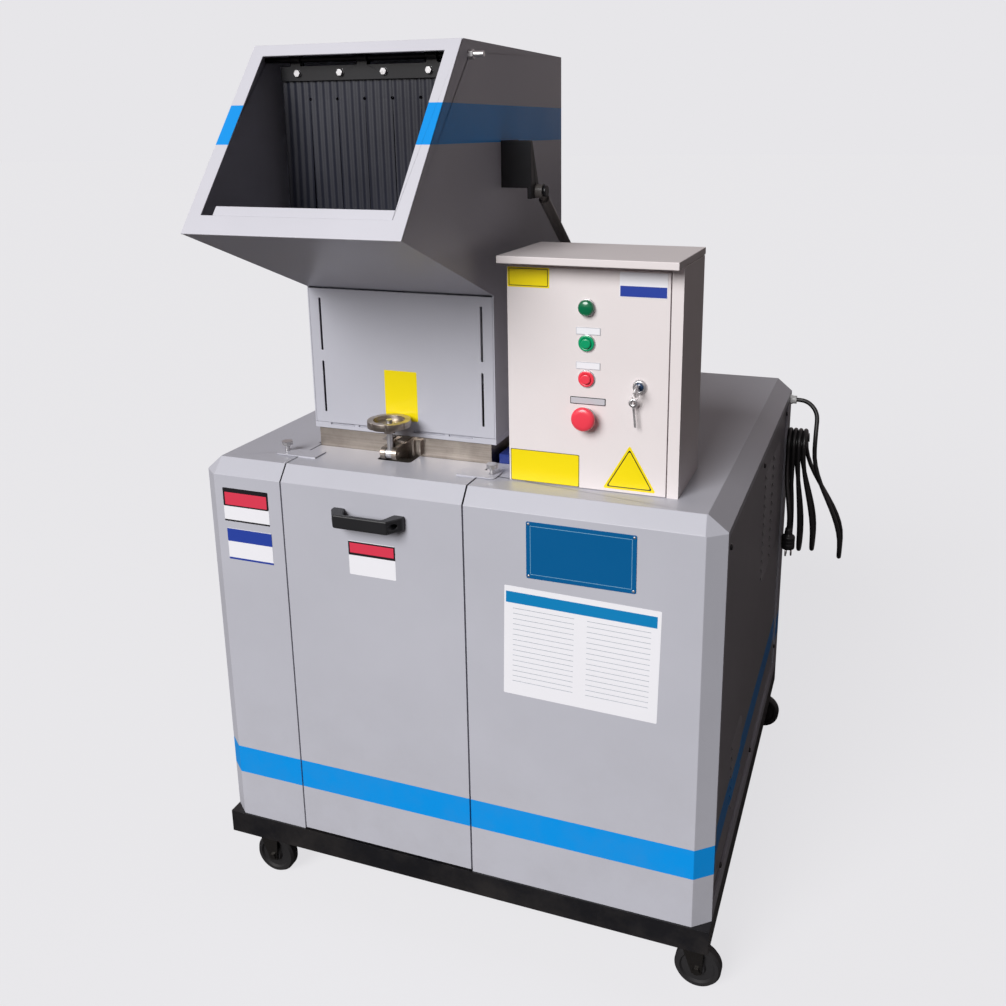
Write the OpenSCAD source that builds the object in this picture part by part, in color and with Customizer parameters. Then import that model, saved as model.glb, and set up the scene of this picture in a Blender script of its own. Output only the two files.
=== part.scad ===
// Plastic granulator: a wheeled sheet-metal cabinet around a bladed cutting chamber,
// with a tilting feed hopper, a control box, and a tilt-out door over the collection bin.

/* [Cabinet] */
// Width of the cabinet
cab_w = 1040; // [1000:5:1200]
// Depth of the cabinet
cab_d = 1010; // [980:5:1200]
// Height of the cabinet above its base frame
cab_h = 806; // [780:2:900]
// Thickness of the folded covers
sheet = 2; // [1.5:0.5:3]
// Run of the bevel along the top front edge
bevel_run = 24; // [18:1:34]
// Drop of the bevel round the top
bevel_drop = 30; // [22:1:38]
// Run of the bevel along the top side edges
side_run = 36; // [26:1:42]
// Width of the upright bevel at each front corner, across the front
corner_x = 33; // [24:1:40]
// Depth of the upright bevel at each front corner, along the side
corner_y = 27; // [20:1:34]
// Width of the rim left round each side panel
rim_w = 36; // [32:1:48]
// Width of the rim above each side panel
rim_top = 14; // [10:1:20]
// Width of the rim behind each side panel
rear_rim = 66; // [64:1:80]
// How far the side panels sit in from the covers
panel_set = 4; // [3:0.5:6]

/* [Base frame and casters] */
// Height of the angle-iron base frame
frame_h = 50; // [40:1:60]
// Thickness of the frame's angle iron
frame_wall = 5; // [4:0.5:6]
// Width of the frame's top flange
frame_leg = 50; // [45:1:60]
// How far the frame stands out past the front of the cabinet
frame_lip = 3; // [1:0.5:5]
// Height from the floor to the underside of the frame
caster_h = 115; // [100:1:130]
// Diameter of a caster wheel
wheel_d = 90; // [75:1:100]
// Width of a caster wheel
wheel_w = 30; // [24:1:34]
// Distance from a caster's swivel to its axle
trail = 25; // [20:1:32]
// Distance from a caster's swivel to the sides of the cabinet
caster_in = 50; // [48:1:70]

/* [Front door] */
// Distance from the left side of the cabinet to the door
door_x = 184; // [170:1:200]
// Width of the door opening
door_w = 384; // [376:1:400]
// Gap along the edges of the door
seam = 3; // [2:0.5:4]
// Depth of the returns along the door's edges
door_return = 16; // [10:1:20]
// Length of the bridge handle
handle_l = 150; // [120:5:180]
// How far the bridge handle stands out
handle_out = 38; // [32:1:45]
// Height of the bridge handle
handle_h = 26; // [20:1:32]
// Height of the handle's centre above the base frame
handle_up = 727; // [500:5:740]

/* [Cutting chamber] */
// Outer width of the chamber
chamber_w = 376; // [360:2:380]
// Outer depth of the chamber
chamber_d = 394; // [380:2:410]
// How far the chamber stands above the cabinet
chamber_rise = 38; // [30:1:50]
// Distance from the front of the cabinet to the chamber
chamber_y = 148; // [144:1:160]
// Thickness of the side plates
side_t = 12; // [10:1:16]
// Thickness of the front and rear walls
wall_t = 24; // [18:1:30]
// Height from the rotor axis to the top of the cabinet
rotor_drop = 166; // [160:1:175]

/* [Rotor] */
// Radius of the circle that the rotor knives cut
rotor_r = 110; // [100:1:114]
// Gap between the rotor knives and the bed knives
knife_gap = 1; // [0.6:0.1:1.5]
// Diameter of the rotor shaft in its bearings
shaft_d = 50; // [45:1:55]
// Number of staggered rotor segments
segments = 5; // [3:1:6]
// Turn from one rotor segment to the next, in degrees
stagger = 18; // [10:1:24]
// Diameter of the rotor pulley
rotor_pulley_d = 280; // [260:5:290]
// Diameter of the motor pulley
motor_pulley_d = 140; // [120:5:150]
// Number of drive belts
belts = 3; // [2:1:3]

/* [Hopper] */
// Width of the hopper
hop_w = 396; // [390:2:410]
// Depth of the hopper's neck
neck_d = 394; // [384:2:410]
// Height of the neck
neck_h = 288; // [260:2:310]
// Overall height of the hopper
hop_h = 728; // [680:2:760]
// How far the mouth's lower edge reaches ahead of the neck
mouth_reach = 355; // [320:5:380]
// Height of the mouth's lower edge above the foot of the neck
mouth_low = 425; // [400:5:440]
// How far the mouth's upper edge stands ahead of the neck
mouth_top_reach = 114; // [90:2:130]
// Thickness of the hopper plate
hop_t = 3; // [2:0.5:4]
// Width of the mouth frame along the sides
ring_side = 25; // [18:1:32]
// Width of the mouth frame along the top
ring_top = 24; // [18:1:32]
// Width of the mouth frame along the bottom
ring_low = 36; // [26:1:44]

/* [Curtain] */
// Width of the rubber curtain
curtain_w = 324; // [300:2:350]
// Length of the rubber curtain below its rod
curtain_l = 330; // [280:5:340]
// Thickness of the rubber
curtain_t = 5; // [4:0.5:6]
// Number of ribs on each face
curtain_ribs = 34; // [20:1:36]

/* [Control box] */
// Width of the control box
box_w = 314; // [300:2:340]
// Depth of the control box behind its door
box_d = 162; // [150:2:200]
// Height of the control box
box_h = 402; // [380:2:420]
// Gap between the hopper and the control box
box_gap = 54; // [48:1:70]
// Distance from the front of the cabinet to the box's door
box_y = 75; // [70:1:90]
// Width of the box's door
box_door_w = 290; // [280:2:296]
// Depth of the box's door
box_door_t = 15; // [12:1:18]
// Thickness of the control box sheet
box_t = 2; // [1.5:0.5:2.5]
// Height of the sloping roof's edge
roof_t = 13; // [10:1:16]
// How far the roof stands out past the door
roof_front = 37; // [25:1:45]

/* [Clamp] */
// Diameter of the clamp's handwheel
hand_d = 84; // [70:1:84]
// Thickness of the handwheel
hand_t = 13; // [10:1:16]
// Diameter of the swing bolt
bolt_d = 12; // [10:1:12]

/* [Gas strut] */
// Diameter of the strut's tube
tube_d = 20; // [18:1:24]
// Diameter of the strut's rod
strut_rod_d = 10; // [8:1:12]
// Length of the strut's tube
tube_l = 400; // [360:5:440]

/* [Supply lead] */
// Diameter of the supply lead
cord_d = 11; // [9:0.5:12]

/* [Hidden] */
$fn = 48;

// Clearances and overruns
// Play of a pin or shaft in its hole
run_fit = 0.06;
// Gap between flat parts that move past each other
slip = 0.3;
// Overrun of a cut past the face that it opens
over = 1;
// Overrun of a cut that opens one side of a whole part
past = 60;

// Levels and places that the pieces share
base_z = caster_h + frame_h;
top_z = base_z + cab_h;
door_end = door_x + door_w;
mid_x = door_x + door_w / 2;
chamber_x0 = mid_x - chamber_w / 2;
chamber_x1 = mid_x + chamber_w / 2;
chamber_end = chamber_y + chamber_d;
chamber_top = top_z + chamber_rise;
inner_x0 = chamber_x0 + side_t;
inner_x1 = chamber_x1 - side_t;
rotor_y = chamber_y + chamber_d / 2;
rotor_z = top_z - rotor_drop;
neck_front = chamber_y + over;
neck_z = chamber_top + slip;
hop_x0 = mid_x - hop_w / 2;
hop_x1 = mid_x + hop_w / 2;
box_x = hop_x1 + box_gap;
box_x1 = box_x + box_w;
bin_h = 250;

// The row's origin stands under the middle of the machine on the floor
hook_out = 52;
org_x = (cab_w + hook_out) / 2;
org_y = (cab_d + neck_front - mouth_reach) / 2;
module placed() {
  translate([-org_x, -org_y, 0]) children();
}

// Colours
panel_grey = [0.72, 0.72, 0.76];
side_grey = [0.42, 0.42, 0.46];
frame_black = [0.1, 0.1, 0.11];
bare_steel = [0.62, 0.59, 0.56];
bright_steel = [0.8, 0.8, 0.82];
box_beige = [0.9, 0.87, 0.87];
machine_blue = [0.1, 0.25, 0.6];
rubber_black = [0.08, 0.08, 0.1];

// Small helpers
module slab(from, to) {
  translate(from) cube(to - from);
}
module rod_x(from, to, y, z, d) {
  translate([from, y, z]) rotate([0, 90, 0]) cylinder(d = d, h = to - from);
}
module rod_y(from, to, x, z, d) {
  translate([x, from, z]) rotate([-90, 0, 0]) cylinder(d = d, h = to - from);
}
module rod_z(from, to, x, y, d) {
  translate([x, y, from]) cylinder(d = d, h = to - from);
}
// A profile drawn as [y, z] points and pulled along X
module along_x(from, to) {
  translate([from, 0, 0]) rotate([90, 0, 90]) linear_extrude(to - from) children();
}
module hex_x(from, to, y, z, d) {
  translate([from, y, z]) rotate([0, 90, 0]) cylinder(d = d, h = to - from, $fn = 6);
}
module hex_y(from, to, x, z, d) {
  translate([x, from, z]) rotate([-90, 0, 0]) cylinder(d = d, h = to - from, $fn = 6);
}
function left_normal(a, b) = let (d = (b - a) / norm(b - a)) [-d[1], d[0]];
function meet(n, c, m, e) = let (q = n[0] * m[1] - n[1] * m[0])
  [(c * m[1] - e * n[1]) / q, (n[0] * e - m[0] * c) / q];
// Moves each edge of an outline inward by its own distance
function inset_each(p, t) = [for (i = [0:len(p) - 1]) let (
    k = (i + len(p) - 1) % len(p), n = left_normal(p[k], p[i]), m = left_normal(p[i], p[(i + 1) % len(p)]))
  meet(n, n * p[k] + t[k], m, m * p[i] + t[i])];

// How far the welded front corners are ground back
corner_grind = 0.8;
// Cabinet form: a box with upright front corner bevels, a bevel round the top on three
// sides, and a three-cornered facet where these meet
function inner_run(a, b, t) = a * (1 + t * (sqrt(1 / (a * a) + 1 / (b * b)) - 1 / b)) - t;
module corner_facet(t) {
  top = [cab_w - side_run, bevel_run, top_z];
  side = [cab_w, corner_y, top_z - bevel_drop];
  front = [cab_w - corner_x, 0, top_z - bevel_drop];
  n = cross(side - front, top - front) / norm(cross(side - front, top - front));
  translate(front - (t + corner_grind) * n) rotate([0, acos(n[2]), atan2(n[1], n[0])])
    translate([-cab_w, -cab_w, 0]) cube([2 * cab_w, 2 * cab_w, cab_w]);
}
module cabinet_form(t) {
  drop_f = inner_run(bevel_drop, bevel_run, t);
  run_f = inner_run(bevel_run, bevel_drop, t);
  drop_s = inner_run(bevel_drop, side_run, t);
  run_s = inner_run(side_run, bevel_drop, t);
  cx = inner_run(corner_x, corner_y, t);
  cy = inner_run(corner_y, corner_x, t);
  low = t > 0 ? base_z - past : base_z;
  x0 = t;
  x1 = cab_w - t;
  y1 = cab_d - t;
  z1 = top_z - t;
  difference() {
    intersection() {
      translate([0, 0, low]) linear_extrude(top_z - low)
        polygon([[x0 + cx, t], [x1 - cx, t], [x1, t + cy], [x1, y1], [x0, y1], [x0, t + cy]]);
      along_x(0, cab_w)
        polygon([[t, low], [y1, low], [y1, z1], [t + run_f, z1], [t, z1 - drop_f]]);
      translate([0, cab_d, 0]) rotate([90, 0, 0]) linear_extrude(cab_d)
        polygon([[x0, low], [x1, low], [x1, z1 - drop_s], [x1 - run_s, z1], [x0 + run_s, z1], [x0, z1 - drop_s]]);
    }
    corner_facet(t);
    translate([cab_w, 0, 0]) mirror([1, 0, 0]) corner_facet(t);
  }
}
module cabinet_shell() {
  difference() {
    cabinet_form(0);
    cabinet_form(sheet);
  }
}
// Opening in the top for the chamber and its bearings
open_front = 10;
open_right = 16;
open_rear = 30;
open_x0 = chamber_x0 - side_t;
open_x1 = box_x - open_right;
open_y0 = chamber_y + open_front;
open_y1 = chamber_end + open_rear;
// Windows in both sides for the recessed side panels
window_y0 = rim_w;
window_y1 = cab_d - rear_rim;
window_z0 = base_z + rim_w;
window_z1 = top_z - bevel_drop - rim_top;
module side_windows() {
  slab([-over, window_y0, window_z0], [cab_w + over, window_y1, window_z1]);
}
module cover_cuts() {
  side_windows();
  slab([open_x0, open_y0, top_z - past], [open_x1, open_y1, top_z + over]);
  slab([-over, cab_d - sheet, base_z - over], [cab_w + over, cab_d + over, top_z + over]);
}

module left_cover() {
  color(panel_grey) {
    difference() {
      intersection() {
        cabinet_shell();
        slab([0, 0, base_z], [door_x, cab_d, top_z]);
      }
      cover_cuts();
      rod_z(top_z - sheet - over, top_z + over, screw_x_left, screw_y, screw_d + 2 * run_fit);
    }
    slab([door_x - sheet, sheet, base_z], [door_x, door_return, top_z - bevel_drop]);
    recess_frame(sheet);
  }
}
// Folded rims round the recess of a side panel, on the left side
module recess_frame(x) {
  difference() {
    slab([x, window_y0 - sheet, window_z0 - sheet], [x + panel_set, window_y1 + sheet, window_z1 + sheet]);
    slab([x - over, window_y0, window_z0], [x + panel_set + over, window_y1, window_z1]);
  }
}
module right_cover() {
  color(panel_grey) {
    difference() {
      intersection() {
        cabinet_shell();
        union() {
          slab([door_end, 0, base_z], [cab_w, cab_d, top_z]);
          slab([door_x, open_y1, top_z - 2 * sheet], [door_end, cab_d, top_z]);
        }
      }
      cover_cuts();
      rod_x(cab_w - past, cab_w + over, gland_y, gland_z, gland_thread_d);
      rod_z(top_z - sheet - over, top_z + over, screw_x_right, screw_y, screw_d + 2 * run_fit);
    }
    slab([door_end, sheet, base_z], [door_end + sheet, door_return, top_z - bevel_drop]);
    translate([cab_w, 0, 0]) mirror([1, 0, 0]) recess_frame(sheet);
  }
}
// Side panel on the left; the right one is its mirror image with louvres
module side_pan() {
  slab([sheet + panel_set, window_y0 - sheet, window_z0 - sheet],
    [sheet + panel_set + sheet, window_y1 + sheet, window_z1 + sheet]);
}
louvre_l = 120;
louvre_pitch = 22;
louvre_h = 9;
vent_back = 374;
vent_up = 442;
vent_gap = 24;
low_vent_in = 194;
low_vent_up = 96;
// Rows of pressed louvres: lower front corner as [y, z], and the number of louvres
upper_vent = [window_y1 - vent_back, base_z + vent_up, 12];
upper_vent_2 = [window_y1 - vent_back + louvre_l + vent_gap, base_z + vent_up, 12];
lower_vent = [window_y0 + low_vent_in, base_z + low_vent_up, 7];
module louvre_slots(v) {
  for (i = [0:v[2] - 1])
    slab([0, v[0], v[1] + i * louvre_pitch], [3 * louvre_h, v[0] + louvre_l, v[1] + i * louvre_pitch + louvre_h]);
}
module louvre_hoods(v) {
  x = sheet + panel_set;
  for (i = [0:v[2] - 1])
    translate([x, v[0] + louvre_l, v[1] + i * louvre_pitch]) rotate([90, 0, 0]) linear_extrude(louvre_l)
      polygon([[0, louvre_h + sheet], [-panel_set, 0], [-panel_set, -sheet / 2], [sheet / 2, louvre_h]]);
}
module side_panels() {
  color(side_grey) side_pan();
  color(side_grey) translate([cab_w, 0, 0]) mirror([1, 0, 0]) {
    difference() {
      side_pan();
      louvre_slots(upper_vent);
      louvre_slots(upper_vent_2);
      louvre_slots(lower_vent);
    }
    louvre_hoods(upper_vent);
    louvre_hoods(upper_vent_2);
    louvre_hoods(lower_vent);
  }
}
module rear_panel() {
  vent_z = base_z + low_vent_up;
  color(side_grey) difference() {
    intersection() {
      cabinet_form(0);
      slab([0, cab_d - sheet, base_z], [cab_w, cab_d, top_z]);
    }
    for (i = [0:9], x = [mid_x - 2 * louvre_l, mid_x - louvre_l / 2, mid_x + louvre_l])
      slab([x, cab_d - sheet - over, vent_z + i * louvre_pitch],
        [x + louvre_l, cab_d + over, vent_z + i * louvre_pitch + louvre_h]);
  }
}

// Base frame: a ring of angle iron with four cross members and the door's hinge posts
tube_w = 50;
stand_y0 = chamber_y + side_t;
stand_y1 = chamber_end - tube_w - sheet;
hinge_y = 4 * sheet;
hinge_up = 12;
hinge_z = base_z + hinge_up;
hinge_pin_d = 6;
hinge_barrel_d = 11;
hinge_l = 40;
hinge_in = 70;
hinge_x = [door_x + hinge_in, door_end - hinge_in];
hinge_arm_t = 8;
module base_frame() {
  motor_beams = [motor_y - motor_foot, motor_y + motor_foot];
  color(frame_black) {
    difference() {
      slab([0, -frame_lip, caster_h], [cab_w, cab_d, base_z]);
      slab([frame_wall, frame_wall - frame_lip, caster_h - over],
        [cab_w - frame_wall, cab_d - frame_wall, base_z - frame_wall]);
      slab([frame_leg, frame_leg - frame_lip, caster_h - over], [cab_w - frame_leg, cab_d - frame_leg, base_z + over]);
    }
    for (y = [stand_y0, stand_y1, motor_beams[0] - tube_w / 2, motor_beams[1] - tube_w / 2])
      difference() {
        slab([frame_wall, y, base_z - tube_w + frame_wall], [cab_w - frame_wall, y + tube_w, base_z]);
        slab([frame_leg, y + frame_wall, base_z - tube_w], [cab_w - frame_leg, y + tube_w - frame_wall, base_z - frame_wall]);
      }
    for (x = hinge_x) hinge_post(x);
  }
}
module hinge_post(x) {
  half = hinge_l / 2 + slip;
  for (s = [-1, 1]) {
    from = s < 0 ? x - half - hinge_arm_t : x + half;
    rod_x(from, from + hinge_arm_t, hinge_y, hinge_z, hinge_barrel_d);
    slab([from, hinge_y, hinge_z - hinge_barrel_d / 2], [from + hinge_arm_t, door_return + sheet, hinge_z + hinge_barrel_d / 2]);
    slab([from, door_return, base_z], [from + hinge_arm_t, door_return + 2 * hinge_arm_t, hinge_z + hinge_barrel_d / 2]);
  }
  rod_x(x - half - over, x + half + over, hinge_y, hinge_z, hinge_pin_d);
}

// Front door: front skin, bevel and top skin in one folding, with a notch round the clamp
door_foot = 4;
notch_w = 73;
notch_y = 103;
ear_over = 38;
ear_y0 = 65;
ear_y1 = 104;
ear_lift = 0.8;
screw_y = 88;
screw_d = 9;
screw_out_left = 36;
screw_out_right = 22;
screw_x_left = door_x - screw_out_left;
screw_x_right = door_end + screw_out_right;
module front_door() {
  x0 = door_x + seam;
  x1 = door_end - seam;
  back = chamber_y - over;
  color(panel_grey) {
    difference() {
      intersection() {
        cabinet_shell();
        slab([x0, 0, base_z + door_foot], [x1, back, top_z]);
      }
      slab([mid_x - notch_w / 2, notch_y + corner_r, top_z - past], [mid_x + notch_w / 2, back + over, top_z + over]);
      slab([mid_x - notch_w / 2 + corner_r, notch_y, top_z - past], [mid_x + notch_w / 2 - corner_r, back + over, top_z + over]);
      for (s = [-1, 1])
        rod_z(top_z - past, top_z + over, mid_x + s * (notch_w / 2 - corner_r), notch_y + corner_r, 2 * corner_r);
    }
    for (x = [x0, x1 - sheet]) slab([x, sheet, base_z + door_foot], [x + sheet, door_return, top_z - bevel_drop]);
    slab([x0, sheet, top_z - bevel_drop - 3 * sheet], [x1, door_return, top_z - bevel_drop - 2 * sheet]);
    door_ear(screw_x_left, x0 + ear_over, -1);
    door_ear(screw_x_right, x1 - ear_over, 1);
    for (x = hinge_x) difference() {
      union() {
        rod_x(x - hinge_l / 2, x + hinge_l / 2, hinge_y, hinge_z, hinge_barrel_d);
        slab([x - hinge_l / 2, sheet / 2, hinge_z - hinge_pin_d / 2], [x + hinge_l / 2, hinge_y, hinge_z + hinge_barrel_d / 2]);
      }
      rod_x(x - hinge_l / 2 - over, x + hinge_l / 2 + over, hinge_y, hinge_z, hinge_pin_d + 2 * run_fit);
    }
  }
}
corner_r = 7;
// Ear with a rounded end and a slot that is open to the rear
module door_ear(sx, root, side) {
  lo = top_z + ear_lift;
  hi = lo + sheet;
  end_r = 9;
  tip = sx + side * (end_r + screw_d / 2);
  slot_w = screw_d + sheet;
  difference() {
    union() {
      slab([min(root, tip - side * end_r), ear_y0, lo], [max(root, tip - side * end_r), ear_y1, hi]);
      slab([min(tip, tip - side * end_r), ear_y0 + end_r, lo], [max(tip, tip - side * end_r), ear_y1, hi]);
      rod_z(lo, hi, tip - side * end_r, ear_y0 + end_r, 2 * end_r);
    }
    rod_z(lo - over, hi + over, sx, screw_y, slot_w);
    slab([sx - slot_w / 2, screw_y, lo - over], [sx + slot_w / 2, ear_y1 + over, hi + over]);
  }
  pad = side < 0 ? door_x + seam : door_end - seam;
  slab([min(root, pad), ear_y0, top_z - sheet / 2], [max(root, pad), ear_y1, lo + sheet / 2]);
}
module door_handle() {
  z = base_z + handle_up;
  post = 24;
  bar = 10;
  color(frame_black) difference() {
    translate([mid_x, 0, z - handle_h / 2]) linear_extrude(handle_h) polygon([
        [-handle_l / 2, 0], [-handle_l / 2 + post, 0], [-handle_l / 2 + post + bar, -handle_out + bar],
        [handle_l / 2 - post - bar, -handle_out + bar], [handle_l / 2 - post, 0], [handle_l / 2, 0],
        [handle_l / 2, -bar], [handle_l / 2 - post + bar / 2, -handle_out],
        [-handle_l / 2 + post - bar / 2, -handle_out], [-handle_l / 2, -bar]]);
    for (s = [-1, 1])
      rod_y(-handle_out, -bar / 2, mid_x + s * (handle_l - post) / 2, z, bar);
  }
}
module thumbscrew(x) {
  head = 21;
  head_t = 8;
  rise = 12;
  knurls = 18;
  z = top_z + ear_lift + sheet + rise;
  color(bright_steel) {
    rod_z(top_z - sheet - 3 * head_t, z + head_t / 2, x, screw_y, screw_d);
    difference() {
      rod_z(z, z + head_t, x, screw_y, head);
      for (i = [0:knurls - 1])
        translate([x, screw_y, z - over]) rotate([0, 0, i * 360 / knurls]) translate([head / 2 + head / 60, 0, 0])
          cylinder(d = head / 12, h = head_t + 2 * over, $fn = 12);
    }
  }
}
module thumbscrew_left() { thumbscrew(screw_x_left); }
module thumbscrew_right() { thumbscrew(screw_x_right); }

// Stand of square tube that carries the chamber, outside its side plates
stand_drop = 120;
stand_top = rotor_z - stand_drop;
stand_w = 52;
stand_x = [chamber_x0 - stand_w - sheet, chamber_x1 + sheet];
module chamber_stand() {
  color(frame_black) for (x = stand_x) {
    for (y = [stand_y0, stand_y1]) {
      slab([x, y, base_z], [x + stand_w, y + tube_w, stand_top - tube_w]);
      slab([x - frame_wall, y, base_z], [x, y + tube_w, base_z + tube_w]);
    }
    slab([x, chamber_y + over, stand_top - tube_w], [x + stand_w, chamber_end - over, stand_top]);
  }
}

// Cutting chamber: side plates, and front and rear walls with seats for the bed knives
chamber_drop = 170;
chamber_low = rotor_z - chamber_drop;
foot_t = 12;
shaft_room = 16;
module chamber_side_plates() {
  hole = shaft_d + shaft_room;
  color(bare_steel) {
    difference() {
      for (x = [chamber_x0, inner_x1])
        slab([x, chamber_y, chamber_low], [x + side_t, chamber_end, chamber_top]);
      rod_x(chamber_x0 - over, chamber_x1 + over, rotor_y, rotor_z, hole);
    }
    slab([chamber_x0 - stand_w, chamber_y + over, stand_top], [chamber_x0, chamber_end - over, stand_top + foot_t]);
    slab([chamber_x1, chamber_y + over, stand_top], [chamber_x1 + stand_w, chamber_end - over, stand_top + foot_t]);
  }
}
seat_h = 46;
knife_t = 14;
knife_w = 62;
knife_over = 12;
// Reach of the seat from the outer face of the wall to just behind the knife's edge
seat_reach = chamber_d / 2 - rotor_r - knife_gap - knife_over;
module wall_profile() {
  ramp = (seat_reach - wall_t) * 0.9;
  polygon([
    [0, chamber_low], [wall_t, chamber_low], [wall_t, rotor_z - seat_h - ramp / 2], [seat_reach, rotor_z - seat_h],
    [seat_reach, rotor_z], [seat_reach + knife_over - knife_w, rotor_z],
    [seat_reach + knife_over - knife_w, rotor_z + knife_t], [wall_t, rotor_z + knife_t + ramp],
    [wall_t, chamber_top], [0, chamber_top]]);
}
module chamber_walls() {
  color(bare_steel) {
    translate([0, chamber_y, 0]) along_x(inner_x0, inner_x1) wall_profile();
    translate([0, chamber_end, 0]) mirror([0, 1, 0]) along_x(inner_x0, inner_x1) wall_profile();
    clamp_lug();
    bolt_rest();
    guide_channel();
    hopper_hinge_ears();
  }
}
// Slotted plate at the top of the wall that the swing bolt leans into
bracket_w = 48;
bracket_reach = 30;
module bolt_rest() {
  low = chamber_top - 2 * sheet;
  difference() {
    slab([clamp_x - bracket_w / 2, chamber_y - bracket_reach, low], [clamp_x + bracket_w / 2, chamber_y + over, chamber_top]);
    slab([clamp_x - bolt_d / 2 - over, chamber_y - bracket_reach - over, low - over],
      [clamp_x + bolt_d / 2 + over, chamber_y - lug_r / 2, chamber_top + over]);
  }
}
// Forked lug that holds the swing bolt, standing out through the door's notch
clamp_y = 105;
clamp_up = 15;
clamp_z = top_z + clamp_up;
lug_w = 34;
fork_gap = 14;
lug_r = 12;
module clamp_lug() {
  root = wall_t / 2;
  difference() {
    union() {
      along_x(clamp_x - lug_w / 2, clamp_x + lug_w / 2)
        polygon([[chamber_y + root, clamp_z - 2 * lug_r], [chamber_y, clamp_z - 2 * lug_r], [clamp_y + lug_r, clamp_z - lug_r + sheet],
          [clamp_y, clamp_z - lug_r], [clamp_y, clamp_z + lug_r],
          [chamber_y, clamp_z + lug_r], [chamber_y + root, clamp_z + lug_r]]);
      rod_x(clamp_x - lug_w / 2, clamp_x + lug_w / 2, clamp_y, clamp_z, 2 * lug_r);
    }
    slab([clamp_x - fork_gap / 2, clamp_y - past, clamp_z - 3 * lug_r], [clamp_x + fork_gap / 2, chamber_y - lug_r, clamp_z + 2 * lug_r]);
  }
  rod_x(clamp_x - lug_w / 2 - sheet, clamp_x + lug_w / 2 + sheet, clamp_y, clamp_z, pivot_d);
}
clamp_off = 6;
clamp_x = mid_x - clamp_off;
pivot_d = 9;
// Short channel beside the lug
module guide_channel() {
  x = clamp_x + lug_w / 2 + fork_gap;
  w = 18;
  z1 = chamber_top - 2 * sheet;
  z0 = top_z + 2 * sheet;
  slab([x, chamber_y - lug_r / 2, z0], [x + w, chamber_y, z1]);
  for (i = [x, x + w - 2 * sheet]) slab([i, chamber_y - lug_r, z0], [i + 2 * sheet, chamber_y, z1]);
}
// Ears on the rear wall with the pin that the hopper tilts on
hop_pin_d = 14;
hop_pin_y = chamber_end + hop_pin_d;
hop_pin_z = chamber_top + slip;
hop_ear_r = 13;
hop_ear_t = 12;
hop_hinge_out = 120;
hop_hinge_x = [mid_x - hop_hinge_out, mid_x + hop_hinge_out];
hop_barrel_l = 50;
module hopper_hinge_ears() {
  for (x = hop_hinge_x) {
    half = hop_barrel_l / 2 + slip;
    for (from = [x - half - hop_ear_t, x + half]) {
      rod_x(from, from + hop_ear_t, hop_pin_y, hop_pin_z, 2 * hop_ear_r);
      slab([from, chamber_end, hop_pin_z - 4 * hop_ear_r], [from + hop_ear_t, hop_pin_y + hop_ear_r, hop_pin_z]);
    }
    rod_x(x - half - over, x + half + over, hop_pin_y, hop_pin_z, hop_pin_d);
  }
}
module bed_knives() {
  pitch = 66;
  edge = chamber_d / 2 - rotor_r - knife_gap;
  color(bright_steel) for (m = [0, 1])
    translate([0, m * (2 * rotor_y), 0]) mirror([0, m, 0]) difference() {
      along_x(inner_x0 + over, inner_x1 - over) polygon([
          [chamber_y + edge - knife_w, rotor_z], [chamber_y + edge, rotor_z],
          [chamber_y + edge - knife_t / 2, rotor_z + knife_t], [chamber_y + edge - knife_w, rotor_z + knife_t]]);
      for (x = [-2:2])
        rod_z(rotor_z - over, rotor_z + knife_t + over, mid_x + x * pitch, chamber_y + edge - knife_w / 2, knife_t);
    }
}
// Perforated screen under the rotor, and the chute that carries it
screen_gap = 6;
screen_t = 4;
screen_hole = 16;
screen_rows = 8;
screen_cols = 10;
screen_top = rotor_z - seat_h;
module screen() {
  r = rotor_r + screen_gap;
  color(bare_steel) difference() {
    rod_x(inner_x0 + over, inner_x1 - over, rotor_y, rotor_z, 2 * (r + screen_t));
    rod_x(inner_x0 - over, inner_x1 + over, rotor_y, rotor_z, 2 * r);
    slab([inner_x0 - over, rotor_y - 2 * r, screen_top - over], [inner_x1 + over, rotor_y + 2 * r, rotor_z + 2 * r]);
    for (i = [0:screen_rows - 1], j = [0:screen_cols - 1])
      translate([inner_x0 + (j + 0.5 + (i % 2) * 0.3) * (inner_x1 - inner_x0) / (screen_cols + 0.3), rotor_y, rotor_z])
        rotate([180 + (i - (screen_rows - 1) / 2) * 15, 0, 0]) translate([0, 0, r - screen_t / 2])
          cylinder(d = screen_hole, h = 2 * screen_t);
  }
}
chute_t = 3;
chute_gap = 10;
chute_low = base_z + bin_h + chute_gap;
module discharge_chute() {
  r = rotor_r + screen_gap + screen_t;
  mouth = 60;
  rail = 20;
  y0 = chamber_y + wall_t;
  y1 = chamber_end - wall_t;
  color(side_grey) {
    difference() {
      along_x(inner_x0, inner_x1) polygon([
          [y0, screen_top - r / 2], [y1, screen_top - r / 2],
          [y1, chamber_low], [y1 - mouth, chute_low], [y0 + mouth, chute_low], [y0, chamber_low]]);
      along_x(inner_x0 + chute_t, inner_x1 - chute_t) polygon([
          [y0 + chute_t, screen_top + over], [y1 - chute_t, screen_top + over],
          [y1 - chute_t, chamber_low], [y1 - mouth - chute_t, chute_low - over], [y0 + mouth + chute_t, chute_low - over],
          [y0 + chute_t, chamber_low]]);
      rod_x(inner_x0 - over, inner_x1 + over, rotor_y, rotor_z, 2 * r);
    }
    for (x = [inner_x0 + chute_t, inner_x1 - chute_t - rail, mid_x - rail / 2]) difference() {
      along_x(x, x + rail) polygon([[y0 + chute_t, screen_top - r / 2], [y1 - chute_t, screen_top - r / 2],
            [y1 - chute_t, screen_top - r], [y0 + chute_t, screen_top - r]]);
      rod_x(x - over, x + rail + over, rotor_y, rotor_z, 2 * r);
    }
  }
}
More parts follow.
